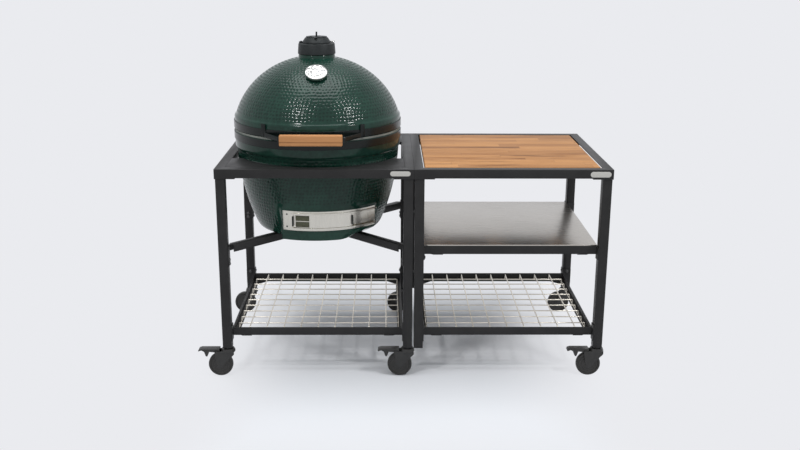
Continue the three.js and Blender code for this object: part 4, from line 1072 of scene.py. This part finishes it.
# %% Handle
grip_low, grip_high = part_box("handle_grip")
grip = block("grip_bar", grip_low, grip_high)
settle(smooth(rounded(grip, 4.5 * mm, 5), 40), acacia_handle, "handle_grip")
eased("handle_bracket", band_black, 0.8 * mm)

# %% [markdown]
# At the back a bracket with ears and a pin, two arms and two wound springs let the dome tilt. The
# springs are swept with the Screw modifier: a small circle beside the pin goes round it and along it.

# %% Hinge and springs
for node in ["hinge_bracket", "hinge_arm"]:
    eased(node, charcoal, 0.7 * mm)


def winding(name, centre, radius, wire_size, length, turns=5):
    """A wire wound round an axis along X."""
    bpy.ops.mesh.primitive_circle_add(
        vertices=12, radius=wire_size / 2, fill_type="NOTHING", location=(0, 0, radius),
        rotation=(0, math.pi / 2, 0),
    )
    obj = placed(bpy.context.object, name)
    obj.data.transform(Matrix.Rotation(math.pi / 2, 4, "Z"))
    modified(
        obj, "SCREW", axis="X", angle=2 * math.pi, steps=28, render_steps=28, iterations=turns,
        screw_offset=(length - wire_size) / turns, use_merge_vertices=True,
    )
    with Edit(obj):
        bpy.ops.mesh.fill_holes(sides=0)
        bpy.ops.mesh.select_all(action="SELECT")
        bpy.ops.mesh.normals_make_consistent(inside=False)
    low = Vector(min(v.co[i] for v in obj.data.vertices) for i in range(3))
    high = Vector(max(v.co[i] for v in obj.data.vertices) for i in range(3))
    obj.data.transform(Matrix.Translation(Vector(centre) - (low + high) / 2))
    return smooth(obj, 60)


spring_wire = 2.6 * mm
for side in ["left", "right"]:
    low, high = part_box(f"hinge_spring_{side}")
    radius = (high.z - low.z - spring_wire) / 2
    spring = winding(f"spring_{side}_wound", (low + high) / 2, radius, spring_wire, high.x - low.x)
    settle(spring, bright_steel, f"hinge_spring_{side}")

# %% [markdown]
# The draft door is a curved steel plate on the base's front. A solid slide and a mesh slide run between
# two rails behind the same opening. Each plate is bent round the kamado's axis by spinning a strip.

# %% Draft door
def draft_piece(name, inner, outer, start, span, low, high, step=1.0):
    """A plate of the draft door, with its angle and its heights counted from the door's middle."""
    low, high = door_middle + low, door_middle + high
    return curved_plate(name, inner, outer, door_turn + start, span, low, high, step)


gap_start, gap_span, gap_half = -28, 32, 26
draft_plate = draft_piece("draft_plate", 303, 305, -37.5, 75, -39, 39)
cut_by(draft_plate, draft_piece("draft_gap", 290, 315, gap_start, gap_span, -gap_half, gap_half, 2))
rounded(draft_plate, 0.5 * mm)
rails = []
for sign in (-1, 1):
    web = (30.3, 32.3) if sign > 0 else (-32.3, -30.3)
    lip = (26.3, 32.3) if sign > 0 else (-32.3, -26.3)
    rails.append(draft_piece(f"rail_web_{sign}", 304.7, 312.1, -30, 67.5, *web))
    rails.append(draft_piece(f"rail_lip_{sign}", 311.8, 313.3, -30, 67.5, *lip))
for piece in rails:
    rounded(piece, 0.4 * mm, 1)
settle(smooth(joined("draft_frame_bent", [draft_plate, *rails])), draft_steel, "draft_frame")

screws = []
for turn, height, seat in [(-34, 25, 305), (-34, -25, 305), (36.2, 29.3, 313.3), (36.2, -29.3, 313.3)]:
    angle = math.radians(door_turn + turn)
    way = Vector((math.sin(angle), -math.cos(angle), 0))
    spot = kamado + way * seat * mm + Vector((0, 0, door_middle + height)) * mm
    screw = rod("screw", spot - way * 0.5 * mm, spot + way * 1.6 * mm, 3.4 * mm, 20)
    screws.append(rounded(screw, 0.5 * mm))
settle(smooth(joined("draft_screws", screws), 30), bolt_black, body="table", slot="brushed_steel")

door_open = 11.4
door_start = gap_start + door_open
slide = rounded(draft_piece("door_sheet", 309.5, 311, door_start, gap_span, -30, 30), 0.4 * mm)
settle(smooth(slide), draft_steel, "draft_door")
pull = rounded(draft_piece("door_pull", 310.6, 320.5, door_start + 31.4, 0.6, -20, 20), 0.4 * mm)
settle(smooth(pull), band_black, body="draft_slide", slot="brushed_steel")

screen_sheet = draft_piece("screen_sheet", 305.8, 307.3, -28.6, 32.6, -30, 30)
window_high = 21.5
openings = [draft_piece("window", 300, 312, -27, 30, low, low + window_high, 2) for low in (-23, 1.5)]
cut_by(screen_sheet, *openings)
settle(smooth(rounded(screen_sheet, 0.3 * mm, 1)), draft_steel, "draft_screen")
screen_pull = rounded(draft_piece("screen_pull", 305.8, 316.8, -29.2, 0.6, -20, 20), 0.25 * mm)
settle(smooth(screen_pull), band_black, "draft_screen_tab")
weave = draft_piece("screen_weave", 306.3, 306.7, -27.5, 31, -24, 24)
settle(smooth(weave), mesh_olive, body="screen_slide", slot="brushed_steel")

# %% [markdown]
# The cap is cast iron: a collar over the neck, a lid with five vents that swings aside on a corner pin,
# and a damper disc that turns on the lid. Castings have soft corners, so the outlines are rounded.

# %% Cap
cap_top = 1288.0
collar_outline = [(61.3, 1246.3), (75.2, 1246.3), (76, 1247.4), (75.9, 1251)]
collar_outline += [(73.2, 1284.8), (72.2, 1287.2), (70.6, 1288), (54.6, 1288), (53.2, 1287.2)]
collar_outline += [(46, 1266.3), (46, 1260.3), (61.3, 1260.3)]
collar = turned("collar_cast", collar_outline, 96, kamado)
swing_x = -62
pivot = rounded(rod("collar_pin", at(swing_x, 0, 1286), at(swing_x, 0, 1296.6), 4 * mm, 32), 0.8 * mm)
settle(smooth(joined("cap_collar_cast", [collar, pivot])), cast_iron, "cap_collar")

lid_foot = cap_top + 0.3
lid_top = lid_foot + 22.5
lid_outline = [(0, lid_top), (43, lid_top), (45.4, lid_top - 0.6), (47, lid_top - 2.4)]
lid_outline += [(55.4, lid_foot + 7.6), (56.6, lid_foot + 5.4), (57, lid_foot + 3.4), (57, lid_foot + 0.8)]
lid_outline += [(56.2, lid_foot), (52, lid_foot), (41, lid_top - 5), (0, lid_top - 5)]
lid = turned("lid_cast", lid_outline, 96, kamado)
ear = rounded(rod("lid_ear", at(swing_x, 0, lid_foot), at(swing_x, 0, lid_foot + 6), 9 * mm, 40), 1.2 * mm, 3)
cut_by(ear, rod("ear_hole", at(swing_x, 0, 1280), at(swing_x, 0, 1310), 4.4 * mm, 32))


def vents(low, high):
    """Round cutters for the five vents, set in a circle."""
    tools = []
    for i in range(5):
        turn = 2 * math.pi * i / 5
        x, y = 27 * math.cos(turn), 27 * math.sin(turn)
        tools.append(rod("vent", at(x, y, low), at(x, y, high), 8 * mm, 40))
    return tools


cut_by(lid, *vents(1280, 1330))
rounded(lid, 0.5 * mm)
pin = rounded(rod("lid_pin", at(0, 0, lid_top - 2), at(0, 0, 1333), 3.5 * mm, 32), 1.0 * mm, 3)
lid_rod = rounded(rod("lid_rod", at(45, 0, lid_foot + 6), at(72, 0, lid_foot + 6), 2.2 * mm), 0.7 * mm)
settle(smooth(joined("cap_lid_cast", [lid, ear, pin, lid_rod])), cast_iron, "cap_lid")

damper_foot = cap_top + 23.1
damper_top = damper_foot + 3.5
damper = rod("damper_disc", at(0, 0, damper_foot), at(0, 0, damper_top), 42 * mm, 96)
cut_by(damper, rod("damper_bore", at(0, 0, 1300), at(0, 0, 1330), 3.9 * mm, 32), *vents(1300, 1330))
thumb = block("damper_tab", at(-6, -54, damper_foot), at(6, -40, damper_top))
for piece in (damper, thumb):
    rounded(piece, 0.8 * mm, 3)
settle(smooth(joined("cap_damper_cast", [damper, thumb])), cast_iron, "cap_damper")

coil_low, coil_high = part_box("lid_handle")
coil_wire = 1.8 * mm
coil_radius = (coil_high.z - coil_low.z - coil_wire) / 2
coil_length = coil_high.x - coil_low.x
lid_coil = winding("lid_coil_wound", (coil_low + coil_high) / 2, coil_radius, coil_wire, coil_length)
settle(lid_coil, bright_steel, "lid_handle")

# %% [markdown]
# The thermometer is made lying on its back round the upright axis, then tipped and moved to its seat on
# the dome in one step. Its face has plain ticks and numbers, cut from thin black film.

# %% Thermometer
dial_tilt = math.radians(57.5)
dial_turn = math.atan(math.tan(dial_tilt) * dome_rise / dome_reach)
dial_seat = Vector((
    0, -dome_reach * math.cos(dial_turn), seam - dome_sink + dome_rise * math.sin(dial_turn),
)) * mm
dial_place = Matrix.Translation(kamado) @ Matrix.Rotation(math.radians(3), 4, "Z")
dial_place = dial_place @ Matrix.Translation(dial_seat) @ Matrix.Rotation(math.pi / 2 - dial_tilt, 4, "X")
face_height = 13.0


def on_dial(obj):
    obj.data.transform(dial_place)
    return obj


case = turned("dial_case", [
    (0, -70), (3.4, -70), (4, -69), (4, 0.3), (10, 0.3), (10, 5), (39, 5), (42.2, 6.2), (43, 8.6), (43, 15),
    (42.6, 16.8), (41.9, 17.8), (41, 18), (40.1, 17.6), (39.3, 16.6), (39, 15.6),
    (39, face_height), (0, face_height),
], 96)
settle(on_dial(smooth(case)), bright_steel, "thermometer_case")

paper_foot, paper_top = face_height + 0.05, face_height + 0.2
face = turned("dial_face", [(0, paper_foot), (38.8, paper_foot), (38.8, paper_top), (0, paper_top)], 96)
settle(on_dial(face), dial_enamel, body="dome", slot="dial_white")

first_turn, whole_turn = -130, 260
tick_count, long_every = 50, 5
marks = []
for i in range(tick_count + 1):
    turn = math.radians(first_turn + whole_turn * i / tick_count)
    inner, width = (30.5, 0.40) if i % long_every else (27.5, 0.95)
    tick = block(
        "tick", Vector((-width, inner, paper_top)) * mm, Vector((width, 35.5, face_height + 0.26)) * mm
    )
    tick.data.transform(Matrix.Rotation(-turn, 4, "Z"))
    marks.append(tick)
for i in range(6):
    turn = math.radians(first_turn + whole_turn / 5 * i)
    bpy.ops.object.text_add(location=(0, 0, 0))
    label = bpy.context.object
    lettering = {
        "body": str(100 * i) if i else "50", "size": 9.5 * mm, "align_x": "CENTER", "align_y": "CENTER",
        "extrude": 0.03 * mm, "resolution_u": 2,
    }
    for setting, value in lettering.items():
        setattr(label.data, setting, value)
    only(label)
    bpy.ops.object.convert(target="MESH")
    label = placed(bpy.context.object, "number")
    spot = Vector((20.5 * math.sin(turn), 20.5 * math.cos(turn), face_height + 0.23)) * mm
    label.data.transform(Matrix.Translation(spot))
    marks.append(label)
print_film = joined("dial_print", marks)
settle(on_dial(print_film), print_black, body="dome", slot="pointer_black")

eased("thermometer_pointer", print_black, 0.25 * mm)
glass_outline = [(0, 16.2), (38.2, 16.2), (38.6, 16.5), (38.6, 16.9), (36, 17.5), (0, 17.7)]
glass = turned("dial_glass", glass_outline, 96)
settle(on_dial(smooth(glass)), dial_glass, "thermometer_glass")

# %% [markdown]
# Inside are the fire parts: a clay bowl with a ring on it, a grate at the bottom of the bowl and the
# cooking grid on the ring. They are seen when the dome is open.

# %% Fire parts
def fire_radius(height):
    """The bowl follows the base's outer wall at a distance."""
    return base_radius(height) - 32


fire_foot, fire_top, fire_wall = 572.6, 822.0, 18
grate_foot = span_of("fire_grate")[0]
walls = [(fire_radius(z), z) for z in [fire_foot + 35, 640, 680, 720, 760, 800, fire_top - 2]]
bowl_outline = [(62, fire_foot), (202, fire_foot), (205, fire_foot + 1)] + walls
edge = walls[-1][0]
bowl_outline += [(edge - 2, fire_top), (edge - 16, fire_top), (edge - fire_wall, fire_top - 2)]
bowl_outline += [(radius - fire_wall, z) for radius, z in walls[-2:2:-1]]
bowl_outline += [(179, grate_foot + 8), (178.6, grate_foot - 0.3), (164, grate_foot - 0.3)]
bowl_outline += [(146, fire_foot + 22), (64, fire_foot + 22), (62, fire_foot + 20)]
bowl = turned("fire_bowl", bowl_outline, 96, kamado)
cut_by(bowl, draft_piece("bowl_gap", 124, 305, gap_start, gap_span, -gap_half, gap_half, 2))
settle(smooth(bowl), fired_clay, "firebox")

ring_foot, ring_top = span_of("fire_ring")
ring_out = fire_radius(fire_top)
ring = turned("fire_ring_turned", [
    (ring_out - fire_wall, ring_foot), (ring_out, ring_foot), (ring_out + 5.8, ring_top - 2),
    (ring_out + 4, ring_top), (ring_out - 12, ring_top), (ring_out - 14, ring_top - 2),
], 96, kamado)
settle(ring, fired_clay, "fire_ring")

bpy.ops.mesh.primitive_cylinder_add(
    vertices=96, radius=177.9 * mm, depth=8 * mm, location=(kamado.x, kamado.y, (grate_foot + 4) * mm)
)
grate = placed(bpy.context.object, "grate_cast")
slot_half, slot_pitch, slot_ring, slot_middle = 10, 65.6, 164, 7
slots = []
for i in range(5):
    y = (i - 2) * slot_pitch
    reach = math.sqrt(max(slot_ring ** 2 - (abs(y) + slot_half) ** 2, 0))
    for sign in (-1, 1):
        left, right = sorted((sign * slot_middle, sign * reach))
        slots.append(block(
            "grate_slot", at(left, y - slot_half, grate_foot - 3), at(right, y + slot_half, grate_foot + 11)
        ))
cut_by(grate, *slots)
settle(smooth(rounded(grate, 1.2 * mm)), iron_inside, "fire_grate")

grid_foot, grid_top = span_of("cooking_grid")
hoop_radius, hoop_wire, bar_pitch = 293, 3, 21.0
bpy.ops.mesh.primitive_circle_add(
    vertices=128, radius=hoop_radius * mm, fill_type="NOTHING", location=at(0, 0, grid_foot + hoop_wire)
)
bars = [thickened(bpy.context.object, "grid_hoop", hoop_wire * mm, 2)]
for i in range(27):
    x = (i - 13) * bar_pitch
    reach = math.sqrt(hoop_radius ** 2 - x * x)
    height = grid_top - 3
    bars.append(rod("grid_bar", at(x, -reach, height), at(x, reach, height), 2.6 * mm, 12))
for y in (-110, 0, 110):
    reach = math.sqrt(hoop_radius ** 2 - y * y)
    height = grid_foot + hoop_wire
    bars.append(rod("grid_cross", at(-reach, y, height), at(reach, y, height), hoop_wire * mm, 14))
grid = joined("cooking_grid_welded", bars)
settle(smooth(grid, 50), bright_steel, "cooking_grid")

# %% [markdown]
# Each caster has a nylon fork on a swivel, a wheel with a dished centre and a rubber tread, and the
# three front ones have a brake pedal. One wheel is turned and copied to the six places.

# %% Casters
axle_height = 48.745
hub_half = [(5.3, 15.3), (10.5, 15.3), (12, 14.4), (12.6, 12.6), (14, 11.4), (19, 10.6), (20, 9.6)]
hub_half += [(27, 9.2), (28, 9.9), (30, 9.9), (31, 9.2), (36.5, 9.2), (38.2, 10.2), (39.4, 12.4)]
hub_half += [(40.6, 12.9), (42, 12.9)]
tyre_half = [(42, 12.2), (42.6, 12.8), (44.6, 12.6), (46.4, 11.4), (47.8, 9.4), (48.5, 6.5), (48.7, 3.2)]


def wheel_part(name, half, steps):
    """Half an outline is mirrored and turned about the axle."""
    return turned(name, half + [(radius, -y) for radius, y in half[::-1]], steps, axis="Y", crease=30)


hub = wheel_part("hub_turned", hub_half, 72)
tyre = wheel_part("tyre_turned", tyre_half, 96)
for name in wheel_names:
    low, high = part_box(f"caster_wheel_{name}")
    spot = ((low.x + high.x) / 2, (low.y + high.y) / 2, axle_height * mm)
    settle(copy_at(hub, f"hub_{name}", spot), hub_nylon, f"caster_wheel_{name}")
    rolling = body_of[f"caster_wheel_{name}"]
    settle(copy_at(tyre, f"tyre_{name}", spot), tread_rubber, body=rolling, slot="tyre_rubber")
    eased(f"caster_fork_{name}", fork_nylon, 1.3 * mm, 3)
for name in braked_names:
    eased(f"brake_pedal_{name}", fork_nylon, 1.2 * mm, 3)
for obj in (bolt_head, hub, tyre):
    bpy.data.objects.remove(obj)

# %% [markdown]
# Two bare pill-shaped plates sit on the front faces of the top frames.

# %% Plates on the rails
def pill_plate(name, x0, x1, z0, z1, face):
    """A thin plate with round ends that stands on a front face."""
    plate = block(name, (x0, face - 1.2 * mm, z0), (x1, face, z1))
    with Edit(plate, "EDGE"):
        pick(plate, lambda a, b: abs(a.x - b.x) < 1e-6 and abs(a.z - b.z) < 1e-6, "EDGE")
        bpy.ops.mesh.bevel(offset=(z1 - z0) / 2 * 0.98, segments=8, affect="EDGES")
    return smooth(rounded(plate, 0.4 * mm), 30)


front_face = grill_low.y
seam_x = (grill_high.x + side_low.x) / 2
plates = [("plate_left", -0.0916, -0.0142, 0.8246, 0.8439), ("plate_right", 0.6705, 0.7501, 0.821, 0.843)]
for name, x0, x1, z0, z1 in plates:
    plate = pill_plate(name, seam_x + x0, seam_x + x1, z0, z1, front_face)
    settle(plate, plate_steel, body="table", slot="polished_steel")
